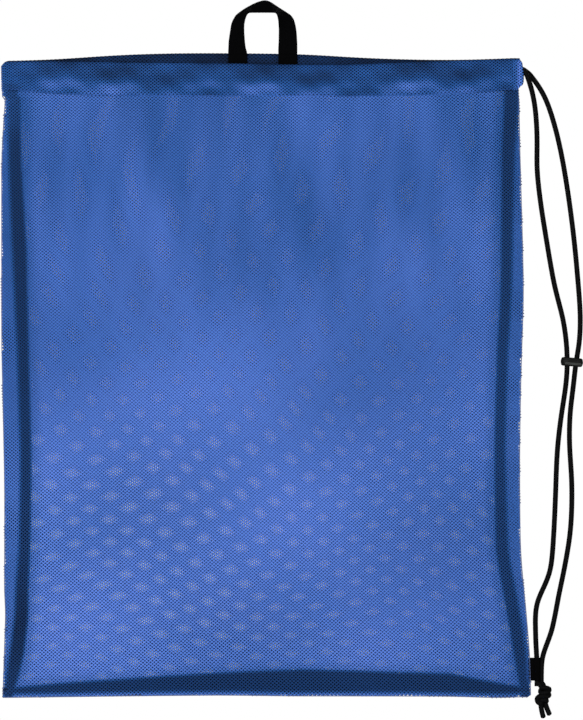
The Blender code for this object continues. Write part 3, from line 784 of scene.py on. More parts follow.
# ------------------------------------------------------------------ hem cloth
CORD_RUN = {face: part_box("drawcord_%s_run" % face) for face in SIGN}
HEM_X = np.linspace(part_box("front_hem")[0].x + 0.001, FACING_HI.x - 0.0012, 60)
HEM_FROM, HEM_TO = EDGE_L + 1.2 * MM, FACING_LO.x
HEM_STATIONS = 64
CORNER_R = 7.0 * MM     # round top corner at the left end
# Fold of the hem, from the outer foot over the cord and the top to the inner foot:
# share of the hem's depth outwards, level it is measured from, mm above that level
HEM_FOLD = (
    (0.30, "foot", -0.6), (0.34, "foot", 2.5), (0.50, "foot", 9), (0.97, "cord", -4.0),
    (1.00, "cord", 0), (0.95, "cord", 3.2), (0.66, "top", -1.6), (0.46, "top", 0),
    (0.26, "top", -1.6), (0, "cord", 3.5), (0, "cord", -4.5), (0.02, "foot", 9),
    (0.12, "foot", 2.0), (0.2, "foot", -0.6),
)


def hem_levels(face):
    """z along HEM_X of the hem's top and foot and of the cord in it."""
    node = face + "_hem"
    inside = HEM_X[HEM_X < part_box(node)[1].x - 0.0005]
    return {
        "top": np.interp(HEM_X, inside, cut_table(node, X, inside, Z, np.max, 2)),
        "foot": np.interp(HEM_X, inside, cut_table(node, X, inside, Z, np.min, 2)),
        "cord": cut_table("drawcord_%s_run" % face, X, HEM_X, Z, np.mean, 2)}


HEM_LEVELS = {face: hem_levels(face) for face in SIGN}


def hem_spread(x):
    """How far the hem's two faces stand apart: nearly closed at the left seam."""
    return 0.12 + 0.88 * ease((x - EDGE_L) / (13 * MM))


def hem_path(face, x):
    """Evenly spaced points (y, z) round the folded cloth at x, and their length."""
    sign = SIGN[face]
    low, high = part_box(face + "_hem")
    y_in = (high.y if sign < 0 else low.y) + sign * 0.15 * MM
    y_out = (low.y if sign < 0 else high.y) - sign * 0.25 * MM
    level = {key: float(np.interp(x, HEM_X, t)) for key, t in HEM_LEVELS[face].items()}
    from_end = max(0.0, x - (EDGE_L + 0.6 * MM))
    level["top"] -= CORNER_R - math.sqrt(
        max(CORNER_R**2 - max(0.0, CORNER_R - from_end) ** 2, 0.0))
    path = np.array([(0.0, y_in + share * (y_out - y_in), level[key] + up * MM)
                     for share, key, up in HEM_FOLD])
    path[:, 1] = MID_Y + (path[:, 1] - MID_Y) * hem_spread(x)
    path = smooth_path(path, 0.4 * MM)
    along = path_lengths(path)
    at = np.linspace(0, along[-1], HEM_STATIONS)
    return np.stack([np.interp(at, along, path[:, i]) for i in (1, 2)], 1), along[-1]


def sheet_at(xs, grid, x, u):
    """Bilinear look-up of (y, z) on a hem sheet, u from 0 to 1 round the fold."""
    i = np.clip((x - xs[0]) / (xs[-1] - xs[0]) * (len(xs) - 1), 0, len(xs) - 1.0001)
    j = np.clip(u * (grid.shape[1] - 1), 0, grid.shape[1] - 1.0001)
    i0, j0 = i.astype(int), j.astype(int)
    part_i, part_j = (i - i0)[:, None], (j - j0)[:, None]
    return (grid[i0, j0] * (1 - part_i) * (1 - part_j)
            + grid[i0 + 1, j0] * part_i * (1 - part_j)
            + grid[i0, j0 + 1] * (1 - part_i) * part_j
            + grid[i0 + 1, j0 + 1] * part_i * part_j)


def hem_net(name, face, x_from, x_to, col_rate, row_rate, share, tone_at, mat,
            split=False, bulge=0.0):
    """Net round the hem fold.  A bulge swells it outwards, curves its right edge
    and leaves out the slack folds."""
    xs = np.linspace(x_from, x_to, 300 if x_to - x_from > 0.1 else 12)
    paths = [hem_path(face, float(x)) for x in xs]
    grid = np.stack([path for path, _ in paths])
    length = float(np.mean([around for _, around in paths]))

    def keep(col, row):
        x, u = col / col_rate, row / (row_rate * length)
        return (x > x_from) & (x < x_to) & (u > 0.0) & (u < 1.0)

    def place(col, row):
        x = col / col_rate + 0.35 * MM * np.sin(row * 0.21 + col * 0.05)
        u = row / (row_rate * length)
        fold_u = np.clip(u, 0, 1)
        y, z = sheet_at(xs, grid, x, fold_u).T
        out = 0.22 * MM * np.sin(x * 1050 + 2 * np.sin(x * 90)) * bell(u - 0.05, 0.07)
        if bulge:
            t = np.clip((x - x_from) / (x_to - x_from), 0, 1)
            out = out + bulge * np.sin(fold_u * math.pi) * np.sin(t * math.pi)
            down = np.clip((z.max() - z) / 0.031, 0, 1)
            edge = (x_to + 1.9 * MM * np.sin(down**1.4 * math.pi)
                    - 4.2 * MM * ease((down - 0.80) / 0.20)
                    - 2.4 * MM * (1 - ease(down / 0.16)))
            x = x_from + (edge - x_from) * t
        else:
            slack = bell(u - 0.2, 0.13) * ease((x - EDGE_L) / (12 * MM))
            out = out + slack * MM * ripple(x, z, (
                (0.75, 46, 120, 0), (0.55, 95, -210, 1.3), (0.30, 160, 90, 2.1)))
        return np.stack([x, y + SIGN[face] * out, z], 1), tone_at(x, z, u)

    return lattice(name, (x_from * col_rate - 1, x_to * col_rate + 1),
                   (0, row_rate * length), keep, place, share, mat, split=split,
                   relief=0.07 * MM, flip=face == "back")


INNER_HALF_SHADE = 0.34  # painted shade on the half of the fold inside the bag


def hem_tone(face):
    """Lightness of a hem: darker over the cord, a painted shadow line along the top fold,
    mottled with painted wrinkle shade, and painted shade on the half inside the bag.
    """
    def tone_at(x, z, u):
        top = np.interp(x, HEM_X, HEM_LEVELS[face]["top"])
        foot = np.interp(x, HEM_X, HEM_LEVELS[face]["foot"])
        level = np.clip((z - foot) / (top - foot), 0, 1)
        tone = 0.66 - 0.25 * ease((level - 0.28) / 0.30)
        # painted shadow along the top fold
        tone = tone * (1 - 0.75 * bell(np.clip(top - z, 0, 1), 1.5 * MM))
        # painted shade of wrinkles
        tone = tone * (1 + ripple(x, z, (
            (0.20, 38, 150, 0.4), (0.16, 88, -190, 0), (0.08, 230, 260, 0))))
        return tone * np.where(u > 0.5, INNER_HALF_SHADE, 1.0)

    return tone_at


def facing_tone(x, z, u):
    """Lightness of the facing: a painted highlight right of its middle, painted shade at the
    top and on its inner half.
    """
    t = (x - HEM_TO) / (FACING_HI.x - HEM_TO)
    # painted highlight right of the facing's middle
    glow = 0.62 + 0.47 * bell(t - 0.72, 0.26)
    # painted shade at the top
    top = bell(np.clip(z.max() - z, 0, 1), 1.6 * MM)
    return np.where(u > 0.5, INNER_HALF_SHADE, glow * (1 - 0.7 * top))


for face, col_rate, row_rate, share in (("front", 266.0, 322.0, 0.66),
                                        ("back", 242.0, 327.0, 0.74)):
    pair = hem_net(face + "_hem_cloth", face, HEM_FROM, HEM_TO + 3.0 * MM, col_rate,
                   row_rate, share, hem_tone(face), HEM, split=True)
    dress_pair(pair, face, "hem_cloth", face + "_hem")

for face in SIGN:
    facing = hem_net(face + "_facing_cloth", face, HEM_TO - 1.0 * MM, FACING_HI.x,
                     290.0, 345.0, 0.68, facing_tone, MESH, bulge=0.9 * MM)[0]
    dress(facing, face, "right", "mesh_cloth", face + "_exit_facing")

# ------------------------------------------------------------ seam allowances
CORNER_Z = {"left": float(bottom_z(-0.25)), "right": float(bottom_z(0.25))}


def seam_xz(side, along, depth):
    """Point at depth in from a seam; along is z at the sides, x at the bottom."""
    if side == "left":
        return left_x(along) + depth, along
    if side == "right":
        return right_x(along) - depth, along
    return along, bottom_z(along) + depth


def seam_net(name, side, y_off, col_rate, row_rate, seed):
    """The folded allowance behind the cloth, from the seam to the band's far edge."""
    if side == "bottom":
        start, end = EDGE_L + 0.002, EDGE_R - 0.002
    else:
        start, end = CORNER_Z[side] + 0.001, -0.0800

    def keep(col, row):
        along, depth = col / col_rate, row / row_rate
        return ((along > start) & (along < end) & (depth > 0.3 * MM)
                & (depth < band_far(side, along)))

    def place(col, row):
        along = col / col_rate
        depth = row / row_rate + 0.3 * MM * np.sin(along * 61 + seed)
        x, z = seam_xz(side, along, depth)
        fold = ease(depth / (16 * MM))
        y = MID_Y + y_off * fold + 0.25 * MM * np.sin(along * 140 + seed) * fold
        # painted shade: the allowance turns dark where it lies deeper behind the cloth
        dark = ease((depth - band_near(side, along) + 2.2 * MM) / (2.2 * MM))
        return np.stack([x, y, z], 1), 0.80 * (1 - dark) + (0.15 - 0.04 * fold) * dark

    return lattice(name, (start * col_rate - 1, end * col_rate + 1),
                   (0, 32 * MM * row_rate), keep, place, 0.80, MESH, relief=0.06 * MM)[0]


for side, node, col_rate, row_rate in (("left", "left_side_seam", 310.0, 265.0),
                                       ("right", "right_side_seam", 310.0, 265.0),
                                       ("bottom", "bottom_seam", 262.0, 318.0)):
    put(seam_net(side + "_allowance_front", side, -1.1 * MM, col_rate, row_rate, seed=3),
        "bag", "mesh_cloth", node)
    put(seam_net(side + "_allowance_back", side, 1.0 * MM, col_rate * 0.97,
                 row_rate * 1.03, seed=5), "bag", "mesh_cloth")

# ------------------------------------------------------------- sewing threads


def dashes(line, start, end, length, lift):
    """Short stitches that dive into the cloth at both ends."""
    out = []
    t = np.linspace(0, 1, 5)
    while start + length < end:
        points = np.array([line(start + length * part) for part in t])
        points[:, 1] += lift * (np.sin(t * math.pi) - 0.35)
        out.append(points)
        start += STITCH_PITCH
    return out


def hem_line(face):
    """Stitch line just above the hem's foot, on its outer face."""
    outer = hem_path(face, 0.0)[0][:24]
    outer = outer[np.argsort(outer[:, 1])]

    def line(x):
        z = float(foot_z(x)) + 1.9 * MM
        y = float(np.interp(z, outer[:, 1], outer[:, 0]))
        return (x, MID_Y + (y - MID_Y) * hem_spread(x) + SIGN[face] * 0.12 * MM, z)

    return line


for face in SIGN:
    spans = ((EDGE_L + 0.004, 0.0), (0.0, FACING_HI.x - 0.002))
    pair = [thread_mesh("%s_hem_stitch_%s" % (face, side),
                        dashes(hem_line(face), start, end, 2.5 * MM,
                               SIGN[face] * 0.35 * MM), 0.34 * MM, THREAD)
            for side, (start, end) in zip(SIDES, spans)]
    dress_pair(pair, face, "thread", face + "_hem_stitch")


def seam_point(side, along, depth):
    x, z = seam_xz(side, along, depth)
    return float(x), MID_Y, float(z)


def overlock(side, start, end):
    """A zigzag of thread over the allowance's cut edge."""
    across = np.array((0, 0, 1) if side == "bottom" else (1, 0, 0))
    width = 2.6 * MM
    count = int((end - start) / (STITCH_PITCH / 2))
    points = []
    for i in range(count):
        along = start + (end - start) * i / (count - 1)
        swing = 1 if i % 2 else -1
        points.append(np.array(seam_point(side, along, band_far(side, along)))
                      + across * width * swing / 2 + np.array((0, 0.35 * MM * swing, 0)))
    return smooth_path(points, 0.45 * MM, 2)


OVERLOCK_FOOT = CORNER_Z["left"] + 0.026
for side, start, end in (("left", OVERLOCK_FOOT, -0.089), ("right", OVERLOCK_FOOT, -0.0925),
                         ("bottom", EDGE_L + 0.028, EDGE_R - 0.03)):
    put(thread_mesh(side + "_overlock", [overlock(side, start, end)], 0.30 * MM, THREAD,
                    sides=5), "bag", "thread", side + "_overlock_thread")

# a row of thread loops shows along the very edge of the side and bottom seams
for side, depth, start, end in (
        ("left", 0.45 * MM, CORNER_Z["left"] + 0.002, -0.052),
        ("right", 0.25 * MM, CORNER_Z["right"] + 0.002, -0.0845),
        ("bottom", 0.25 * MM, EDGE_L + 0.003, EDGE_R - 0.003)):
    def rim(along):
        return seam_point(side, along, depth)

    core = resample([rim(along) for along in np.linspace(start, end, 160)], 2.0 * MM)
    put(thread_mesh(side + "_rim_stitch",
                    dashes(rim, start, end, 2.3 * MM, -0.45 * MM) + [core],
                    0.50 * MM, EDGE_THREAD), "bag", "thread")

# ------------------------------------------------------- drawcord in the hems
RUN_END = FACING_HI.x - 0.6 * MM
TURN_X = EDGE_L + 14.0 * MM     # where the two runs join at the left end
RUN_Y = {face: float((low.y + high.y) / 2) for face, (low, high) in CORD_RUN.items()}


def run_points(face, x_from, x_to):
    xs = np.arange(x_from, x_to + 1e-9, 4 * MM)
    z = np.interp(xs, HEM_X, HEM_LEVELS[face]["cord"])
    return np.stack([xs, np.full_like(xs, RUN_Y[face]), z], 1)


def run_end(face):
    """Where the cord leaves the hem, as an array of one point."""
    return run_points(face, RUN_END, RUN_END)


for face in SIGN:
    halves = (run_points(face, TURN_X, 0.0),
              np.concatenate([run_points(face, 0.0, RUN_END), run_end(face)]))
    pair = [cord_mesh("drawcord_%s_%s" % (face, side), points, RUN_R, 1.0 * MM, 16)
            for side, points in zip(SIDES, halves)]
    dress_pair(pair, face, "cord", "drawcord_%s_run" % face)

turn_ry = (RUN_Y["back"] - RUN_Y["front"]) / 2
turn_y = (RUN_Y["back"] + RUN_Y["front"]) / 2
turn_z = float(np.interp(TURN_X, HEM_X, HEM_LEVELS["front"]["cord"]))
turn_rx = min(TURN_X - float(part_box("drawcord_left_turn")[0].x) - RUN_R, 7.0 * MM)
turn = [(TURN_X - turn_rx * math.sin(a), turn_y - turn_ry * math.cos(a), turn_z)
        for a in np.linspace(0, math.pi, 24)]
put(cord_mesh("drawcord_turn", turn, RUN_R, 0.8 * MM, 16), "bag", "cord",
    "drawcord_left_turn")

# --------------------------------------------------------------- hanging loop
LOOP_HUB = np.array([0.0, -0.022])     # x, z of the centre of the loop's rays
LEG_TOP = -0.0232
LEG_ROWS = 34
LOOP_RAYS = 61
TAPE_COLUMNS = 14
TAPE_HALF = 0.55 * MM                  # half thickness
HINGE_Z = float(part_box("hang_loop")[0].z)
LOOP_FOOT = float(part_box("hang_loop_end_left")[0].z)


def ray(segments, origin, direction):
    """Nearest and farthest crossing of a ray with 2-D segments."""
    out = []
    for start, end in segments:
        span = end - start
        det = direction[0] * span[1] - direction[1] * span[0]
        if abs(det) < 1e-15:
            continue
        gap = start - origin
        distance = (gap[0] * span[1] - gap[1] * span[0]) / det
        part = (gap[0] * direction[1] - gap[1] * direction[0]) / det
        if -1e-6 <= part <= 1 + 1e-6 and distance > 1e-5:
            out.append(distance)
    return min(out), max(out)


def loop_rows():
    """Inner and outer edge (x, z) of the loop, left to right over the top."""
    outline = section("hang_loop", Y, 0.0)[:, :, [0, 2]]
    out = []
    for angle in np.linspace(math.pi, 0.0, LOOP_RAYS):
        direction = np.array([math.cos(angle), math.sin(angle)])
        near, far = ray(outline, LOOP_HUB, direction)
        out.append((LOOP_HUB + direction * near, LOOP_HUB + direction * far))
    return out


def leg_rows(side, z_from, z_to):
    """Inner and outer edge (x, z) of one leg of the loop."""
    low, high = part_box("hang_loop_end_" + side)
    out = []
    for z in np.linspace(z_from, z_to, LEG_ROWS):
        x_low, x_high = low.x, high.x
        if z > HINGE_Z + 0.0006:
            xs = section("hang_loop", Z, z)[..., 0]
            xs = xs[xs < 0] if side == "left" else xs[xs > 0]
            x_low, x_high = xs.min(), xs.max()
        inner, outer = (x_high, x_low) if side == "left" else (x_low, x_high)
        out.append((np.array([inner, z]), np.array([outer, z])))
    return out


rows = np.array(leg_rows("left", LOOP_FOOT, LEG_TOP) + loop_rows()
                + leg_rows("right", LEG_TOP, LOOP_FOOT))
inner, outer = (np.stack([soften(rows[:, edge, i], 1) for i in (0, 1)], 1)
                for edge in (0, 1))
# where the tape looks narrower than it is, the rest of its width runs along Y
seen = np.linalg.norm(outer - inner, axis=1)
tip = np.sqrt(np.clip(TAPE_W**2 - seen**2, 0, None))
tip = np.clip(soften(np.where(seen > TAPE_W * 0.985, 0.0, tip), 2), 0, 15.5 * MM)
middle = (inner + outer) / 2
tape_run = path_lengths(middle)


def loop_tape(name, first, stop):
    """Rows first to stop - 1 as a thin strip with ribbed faces and rounded selvedges."""
    v = np.linspace(0, 1, TAPE_COLUMNS + 1)
    edge = np.sqrt(np.clip(1 - (2 * v - 1) ** 14, 0.15, 1))
    tops, backs, uvs = [], [], []
    for i in range(first, stop):
        start = np.array([inner[i][0], 0.0, inner[i][1]])
        end = np.array([outer[i][0], 0.0, outer[i][1]])
        base = start[None] * (1 - v[:, None]) + end[None] * v[:, None]
        base[:, 1] += tip[i] * (v - 0.5)
        width = end - start
        width[1] = tip[i]
        width /= np.linalg.norm(width)
        j = min(max(i, first + 1), stop - 2)
        step = middle[j + 1] - middle[j - 1]
        normal = np.cross(np.array([step[0], 0.0, step[1]]), width)
        normal /= np.linalg.norm(normal)
        rib = RIB_RELIEF * math.cos(tape_run[i] / RIB_PITCH * 2 * math.pi)
        half = (TAPE_HALF * edge + rib)[:, None]
        tops.append(base + normal * half)
        backs.append(base - normal * half)
        uvs.append(np.stack([np.full(len(v), tape_run[i] / MM), v * TAPE_W / MM], 1))
    return mesh_object(name, np.concatenate(tops + backs),
                       slab_faces(stop - first, len(v)), TAPE, np.concatenate(uvs * 2))


def tack_stitch(start, end):
    """One bartack thread, bowed towards the front."""
    points = np.linspace(start, end, 5)
    points[:, 1] -= 0.15 * MM * np.sin(np.linspace(0, math.pi, 5))
    return points


split_left = int(np.argmin(np.abs(inner[:LEG_ROWS, 1] - (HINGE_Z - 3.0 * MM))))
split_right = len(rows) - 1 - split_left
blend_z(loop_tape("loop_tape", split_left, split_right + 1), "bag", "loop",
        HINGE_Z - 2.5 * MM, HINGE_Z + 3.5 * MM, "webbing", "hang_loop")
for side, first, stop in (("left", 0, split_left + 1), ("right", split_right, len(rows))):
    put(loop_tape("loop_tape_end_" + side, first, stop), "bag", "webbing",
        "hang_loop_end_" + side)
for side in SIDES:
    low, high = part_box("loop_tack_" + side)
    paths = []
    for k in range(14):
        x = low.x + (high.x - low.x) * (k + 0.5) / 14 + (k % 2) * 0.25 * MM
        paths.append(tack_stitch((x, low.y, low.z), (x, low.y, high.z)))
    put(thread_mesh("loop_bartack_" + side, paths, 0.32 * MM, THREAD), "bag", "thread",
        "loop_tack_" + side)

# ---------------------------------------------------------------- cord legs
SLIDER_LO, SLIDER_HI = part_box("cord_slider")
SLIDER_C = (SLIDER_LO + SLIDER_HI) / 2
TAB_LO, TAB_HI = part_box("corner_tab")
STUB_Z0, STUB_Z1 = -0.0620, -0.0925    # z span from bag to strap given for the exit piece, which ends at STUB_Z1
NECK_Z = TAB_HI.z - 0.0020             # below this the legs go to the knot


def leg_line(node, z_from, z_to):
    """Centre line of a cord leg from the frame, top to bottom."""
    out = []
    for z in np.arange(z_from, z_to, -3.0 * MM):
        points = section(node, Z, z).reshape(-1, 3)
        if len(points):
            centre = (points.min(0) + points.max(0)) / 2
            out.append((centre[0], centre[1], z))
    return np.array(out)


leg_points = {}
# tab_dx, tab_dy: how far the leg is drawn in at the corner tab
for leg, face, tab_dx, tab_dy in (("inner", "front", -1.7 * MM, 0.0),
                                  ("outer", "back", -3.3 * MM, 1.5 * MM)):
    node = "cord_leg_" + leg
    low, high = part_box(node)
    line = leg_line(node, high.z - 0.006, low.z + 0.0004)
    for i in (0, 1):
        line[:, i] = soften(line[:, i], 2)
    near_tab = ease((-0.612 - line[:, 2]) / 0.036)
    line[:, 0] += tab_dx * near_tab
    line[:, 1] += tab_dy * near_tab
    lead = run_end(face)
    full = smooth_path(np.concatenate([lead, lead + np.array([2.4, 0, -0.6]) * MM, line]),
                       2.0 * MM, 2)
    leg_points[leg] = full

    def part(z_high, z_low):
        z = full[:, 2]
        ids = np.nonzero((z <= z_high + 0.5 * MM) & (z >= z_low - 0.5 * MM))[0]
        return full[ids[0]:ids[-1] + 1]

    neck = part(NECK_Z, low.z)
    neck_end = np.array([neck[-1][0], neck[-1][1], float(low.z) - 3.2 * MM])
    # name, points, the two bodies, z where each takes over, nodes it stands for
    pieces = (
        ("exit", part(1.0, STUB_Z1), "bag", "strap", STUB_Z0, STUB_Z1 + 0.0005, ()),
        ("upper", part(STUB_Z1, SLIDER_C.z), "strap", "slider", STUB_Z1, SLIDER_C.z, (node,)),
        ("lower", part(SLIDER_C.z, NECK_Z), "strap", "slider", NECK_Z, SLIDER_C.z, ()),
        ("neck", np.concatenate([neck, [neck_end]]), "strap", "knot",
         low.z + 1.0 * MM, neck_end[2], ()),
    )
    for piece, points, body, other, z_start, z_end, nodes in pieces:
        blend_z(cord_mesh("cord_%s_%s" % (leg, piece), points, CORD_R),
                body, other, z_start, z_end, "cord", *nodes)

# --------------------------------------------------------------------- slider
BEAD_HALF_W = 11.2 * MM
BEAD_HALF_H = 4.4 * MM
BEAD_HALF_D = float(SLIDER_HI.y - SLIDER_LO.y) / 2
BEAD_TILT = np.array(Matrix.Rotation(math.radians(5.0), 3, "Y"))   # right end lower
BEAD_SIDES, BEAD_RINGS = 72, 33
HOLE_R, HOLE_SIDES, HOLE_REACH = 2.75 * MM, 28, 12 * MM


def superellipse(rx, ry, power, count):
    cos, sin = np.cos(circle(count)), np.sin(circle(count))
    return (rx * np.sign(cos) * np.abs(cos) ** (2 / power),
            ry * np.sign(sin) * np.abs(sin) ** (2 / power))


def bead_mesh():
    """Flattened bead with rounded ends and two shallow grooves round it."""
    verts = []
    levels = np.linspace(-1, 1, BEAD_RINGS)
    for t in levels:
        end = (1 - abs(t) ** 2.6) ** 0.5 if abs(t) < 1 else 0.0
        inset = 2.6 * MM * (1 - end) + 0.30 * MM * bell(abs(t) - 0.46, 0.08)
        x, y = superellipse(BEAD_HALF_W - inset, BEAD_HALF_D - 0.55 * inset, 2.35, BEAD_SIDES)
        verts.append(np.stack([x, y, np.full(BEAD_SIDES, t * BEAD_HALF_H)], 1))
    verts.append([[0, 0, -BEAD_HALF_H], [0, 0, BEAD_HALF_H]])
    verts = np.concatenate(verts) @ BEAD_TILT.T + np.array(SLIDER_C)
    return mesh_object("slider_bead", verts, tube_faces(BEAD_RINGS, BEAD_SIDES), PLASTIC)


def hole_cutter(leg):
    """Upright tube that leans with the cord leg through the bead."""
    points = leg_points[leg]
    from_bead = np.abs(points[:, 2] - SLIDER_C.z)
    at = points[np.argmin(from_bead)]
    near = points[from_bead < 9 * MM]
    lean = (near[0] - near[-1]) / (near[0] - near[-1])[2]
    angle = circle(HOLE_SIDES)
    rings = []
    for z in (-HOLE_REACH, HOLE_REACH):
        centre = at + lean * z
        rings.append(np.stack([centre[0] + HOLE_R * np.cos(angle),
                               centre[1] + HOLE_R * np.sin(angle),
                               np.full(HOLE_SIDES, SLIDER_C.z + z)], 1))
    verts = np.concatenate(rings + [[ring.mean(0)] for ring in rings])
    return mesh_object("hole_" + leg, verts, tube_faces(2, HOLE_SIDES), PLASTIC, smooth=False)


bead = bead_mesh()
for leg in ("inner", "outer"):
    cutter = hole_cutter(leg)
    hole = bead.modifiers.new("hole", "BOOLEAN")
    hole.operation = "DIFFERENCE"
    hole.solver = "EXACT"
    hole.object = cutter
    bpy.context.view_layer.update()
    depsgraph = bpy.context.evaluated_depsgraph_get()
    drilled = bpy.data.meshes.new_from_object(bead.evaluated_get(depsgraph))
    bead.modifiers.clear()
    bead.data = drilled
    bpy.data.objects.remove(cutter, do_unlink=True)
# painted highlight: a lighter band low on the bead, in shares of its half height and half
# width
bead.data.materials.append(PLASTIC_HIGHLIGHT)
for poly in bead.data.polygons:
    centre = BEAD_TILT.T @ (np.array(poly.center) - np.array(SLIDER_C))
    if (-0.62 < centre[2] / BEAD_HALF_H < -0.10
            and -0.62 * BEAD_HALF_W < centre[0] < 0.86 * BEAD_HALF_W):
        poly.material_index = 1
bead.data.shade_smooth()
bead.data.set_sharp_from_angle(angle=math.radians(42))
put(bead, "slider", "slider_plastic", "cord_slider")

# ----------------------------------------------------------------- corner tab
TAB_STEP = 0.55 * MM
TAB_HALF = 0.32 * MM    # half thickness
TAB_WRAP = math.radians(152)


def tab_section(z):
    """Open profile of the folded tape at height z: seam, round the cord, back."""
    cord_x = float(np.interp(-z, -leg_points["inner"][:, 2], leg_points["inner"][:, 0]))
    radius = CORD_R + 0.55 * MM
    x = (float(right_x(z)) - 2.2 * MM
         + (1 - ease((TAB_HI.z - z) / (4.5 * MM))) * 1.6 * MM)
    arc = [(cord_x + radius * math.cos(a), -radius * math.sin(a), z)
           for a in np.linspace(TAB_WRAP, -TAB_WRAP, 20)]
    return np.array([(x, -0.45 * MM, z), (x + 2.5 * MM, -0.55 * MM, z)] + arc
                    + [(x + 2.5 * MM, 0.55 * MM, z), (x, 0.45 * MM, z)])


def tab_mesh():
    zs = np.linspace(TAB_LO.z + 1.0 * MM, TAB_HI.z, 34)
    profiles = [resample(tab_section(float(z)), TAB_STEP) for z in zs]
    cols = min(len(profile) for profile in profiles)
    grid = []
    for profile in profiles:
        at = np.linspace(0, len(profile) - 1, cols)
        grid.append(np.stack([np.interp(at, np.arange(len(profile)), profile[:, i])
                              for i in range(3)], 1))
    grid = np.array(grid)
    normal = np.cross(np.gradient(grid, axis=1), np.gradient(grid, axis=0))
    normal /= np.linalg.norm(normal, axis=2)[..., None]
    along = np.arange(cols) * TAB_STEP
    rib = RIB_RELIEF * np.cos(along / RIB_PITCH * 2 * math.pi)[None, :, None]
    verts = np.concatenate([(grid + normal * (TAB_HALF + rib)).reshape(-1, 3),
                            (grid - normal * TAB_HALF).reshape(-1, 3)])
    uv = np.stack(np.meshgrid(along / MM, zs / MM), -1).reshape(-1, 2)
    return mesh_object("tab_tape", verts, slab_faces(len(zs), cols, flip=True), TAPE,
                       np.concatenate([uv, uv]))


tab = tab_mesh()
seam_x = float(right_x(-0.655))
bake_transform(tab)
label(tab, ("corner_tab", "corner_tab_ends"))
low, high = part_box("corner_tab_tack")
paths = []
for k in range(16):
    z = low.z + (high.z - low.z) * (k + 0.5) / 16
    paths.append(tack_stitch((low.x - 0.4 * MM, -1.25 * MM, z),
                             (high.x + 0.2 * MM, -1.25 * MM, z)))
put(thread_mesh("tab_bartack", paths, 0.3 * MM, THREAD), "bag", "thread", "corner_tab_tack")

# ------------------------------------------------------------- knot and tails
KNOT_LO, KNOT_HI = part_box("cord_knot")
KNOT_C = np.array([(KNOT_LO.x + KNOT_HI.x) / 2, 0.0, (KNOT_LO.z + KNOT_HI.z) / 2])
# cord centre lines, (x, y, z) in mm from the knot's centre
KNOT_LOOPS = {
    "inner": [(-3.4, -1.2, 9.5), (-2.6, -2.0, 6.8), (1.2, -2.8, 6.7), (4.6, -1.8, 6.3),
              (5.4, 0.6, 4.6), (3.2, 2.6, 2.0), (-1.6, 2.9, -0.8), (-5.8, 1.6, -2.0),
              (-7.2, -0.6, -4.6), (-5.6, -2.4, -8.6), (-3.0, -2.2, -8.2), (-3.0, -0.6, -9.6)],
    "outer": [(-0.4, 0.2, 9.2), (0.6, 0.6, 5.6), (3.2, 1.3, 2.4), (5.4, 0.4, -0.2),
              (3.6, -2.2, -1.8), (-1.0, -3.0, -1.6), (-5.2, -2.2, -2.2), (-7.4, 0.2, -4.8),
              (-5.2, 2.4, -8.6), (-1.0, 2.4, -8.4), (1.6, 1.2, -9.2)],
}
TAILS = {"inner": [(-3.0, 0.0, -12.0), (-2.0, 0.2, -17.5), (-0.4, 0.4, -23.6)],
         "outer": [(2.0, 0.6, -11.4), (3.8, 0.6, -16.0), (5.9, 0.6, -20.8)]}
KNOT_WRAP = [(-3.2, 2.4, 4.6), (-4.0, -0.6, 3.0), (-2.2, -3.4, 1.2), (2.0, -3.4, 2.2),
             (4.9, -0.8, 3.0), (2.6, 2.6, -1.4), (-1.6, 2.8, -4.6), (-4.8, 0.4, -6.6),
             (-2.4, -3.0, -5.4), (2.2, -2.6, -5.0), (2.6, 0.6, -6.6)]


def knot_cord(name, points, radius=CORD_R, lead=(), **options):
    """Cord through lead points in metres, then points given from the knot's centre."""
    path = list(lead) + [KNOT_C + np.array(point) * MM for point in points]
    return cord_mesh(name, smooth_path(path, 0.6 * MM), radius, **options)


for leg, nodes in (("inner", ("cord_knot",)), ("outer", ())):
    x, y, _ = leg_points[leg][-1]
    put(knot_cord("knot_cord_" + leg, KNOT_LOOPS[leg],
                  lead=[np.array([x, y, KNOT_HI.z + 1.2 * MM])]), "knot", "cord", *nodes)
    put(knot_cord("tail_" + leg, [KNOT_LOOPS[leg][-1]] + TAILS[leg], round_end=True),
        "knot", "cord", "cord_tail_" + leg)
put(knot_cord("knot_cord_wrap", KNOT_WRAP, CORD_R * 0.96), "knot", "cord")

# ------------------------------------------------------ floor, light, camera


def floor_material():
    """Pale floor that glows for the camera only, more at grazing angles."""
    sh = Shader("pale_floor", Base_Color=(0.86, 0.86, 0.86, 1), Roughness=0.9,
                Emission_Color=(1, 1, 1, 1))
    grazing = sh.add("LayerWeight").outputs["Facing"]
    glow = sh.plus(sh.times(sh.math("POWER", grazing, 3.0), 0.62), 0.42)
    camera_ray = sh.add("LightPath").outputs["Is Camera Ray"]
    sh.feed(sh.times(camera_ray, glow), "Emission Strength")
    return sh.mat


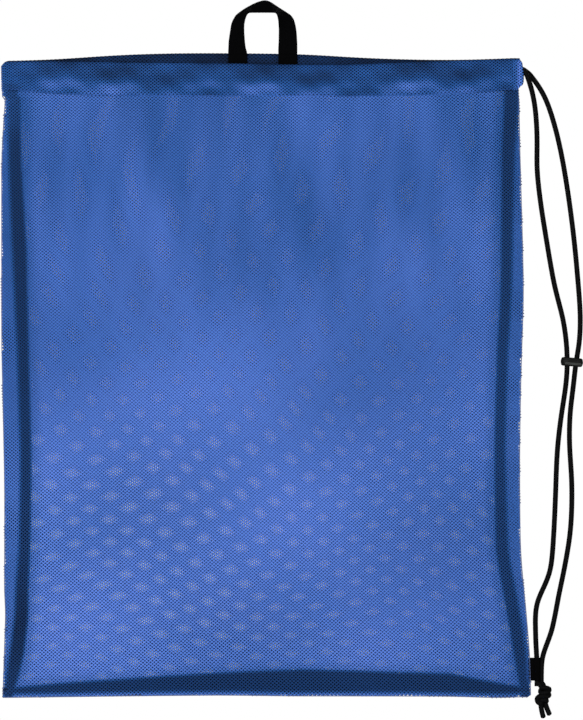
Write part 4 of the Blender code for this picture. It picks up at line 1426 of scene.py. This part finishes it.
bpy.ops.mesh.primitive_plane_add(size=8.0, location=(0, 0, CAD_BOX[0].z - 0.036))
floor = bpy.context.active_object
floor.name = "floor"
floor.data.materials.append(floor_material())


def softbox(name, at, look, size, watts):
    data = bpy.data.lights.new(name, "AREA")
    data.shape = "RECTANGLE"
    data.size, data.size_y = size
    data.energy = watts
    ob = bpy.data.objects.new(name, data)
    ob.location = at
    ob.rotation_euler = (Vector(look) - Vector(at)).to_track_quat("-Z", "Y").to_euler()
    bpy.context.scene.collection.objects.link(ob)


softbox("key", at=(-0.9, -2.3, 0.5), look=(0.0, 0.0, -0.34), size=(1.6, 1.6), watts=58)
softbox("fill", at=(1.3, -2.1, -0.1), look=(0.0, 0.0, -0.36), size=(1.4, 1.4), watts=22)
softbox("rear", at=(0.4, 2.4, 0.5), look=(0.0, 0.0, -0.34), size=(2.0, 1.6), watts=34)


def studio_world():
    """White to the camera, dim white light to everything else."""
    world = bpy.data.worlds.new("studio")
    bpy.context.scene.world = world
    world.use_nodes = True
    nodes, links = world.node_tree.nodes, world.node_tree.links
    nodes.clear()
    output = nodes.new("ShaderNodeOutputWorld")
    seen = nodes.new("ShaderNodeBackground")
    light = nodes.new("ShaderNodeBackground")
    for background, strength in ((seen, 1.0), (light, 0.24)):
        background.inputs["Color"].default_value = (1, 1, 1, 1)
        background.inputs["Strength"].default_value = strength
    path = nodes.new("ShaderNodeLightPath")
    mix = nodes.new("ShaderNodeMixShader")
    links.new(path.outputs["Is Camera Ray"], mix.inputs[0])
    links.new(light.outputs[0], mix.inputs[1])
    links.new(seen.outputs[0], mix.inputs[2])
    links.new(mix.outputs[0], output.inputs[0])


studio_world()

camera_data = bpy.data.cameras.new("camera")
camera_data.type = "ORTHO"
camera_data.ortho_scale = 0.718
camera = bpy.data.objects.new("camera", camera_data)
camera.location = (0.0292, -2.0, -0.3464)
camera.rotation_euler = (math.radians(90), 0, 0)
scene = bpy.context.scene
scene.collection.objects.link(camera)
scene.camera = camera
scene.view_settings.view_transform = "Standard"
scene.cycles.denoising_prefilter = "NONE"   # keeps the fine weave
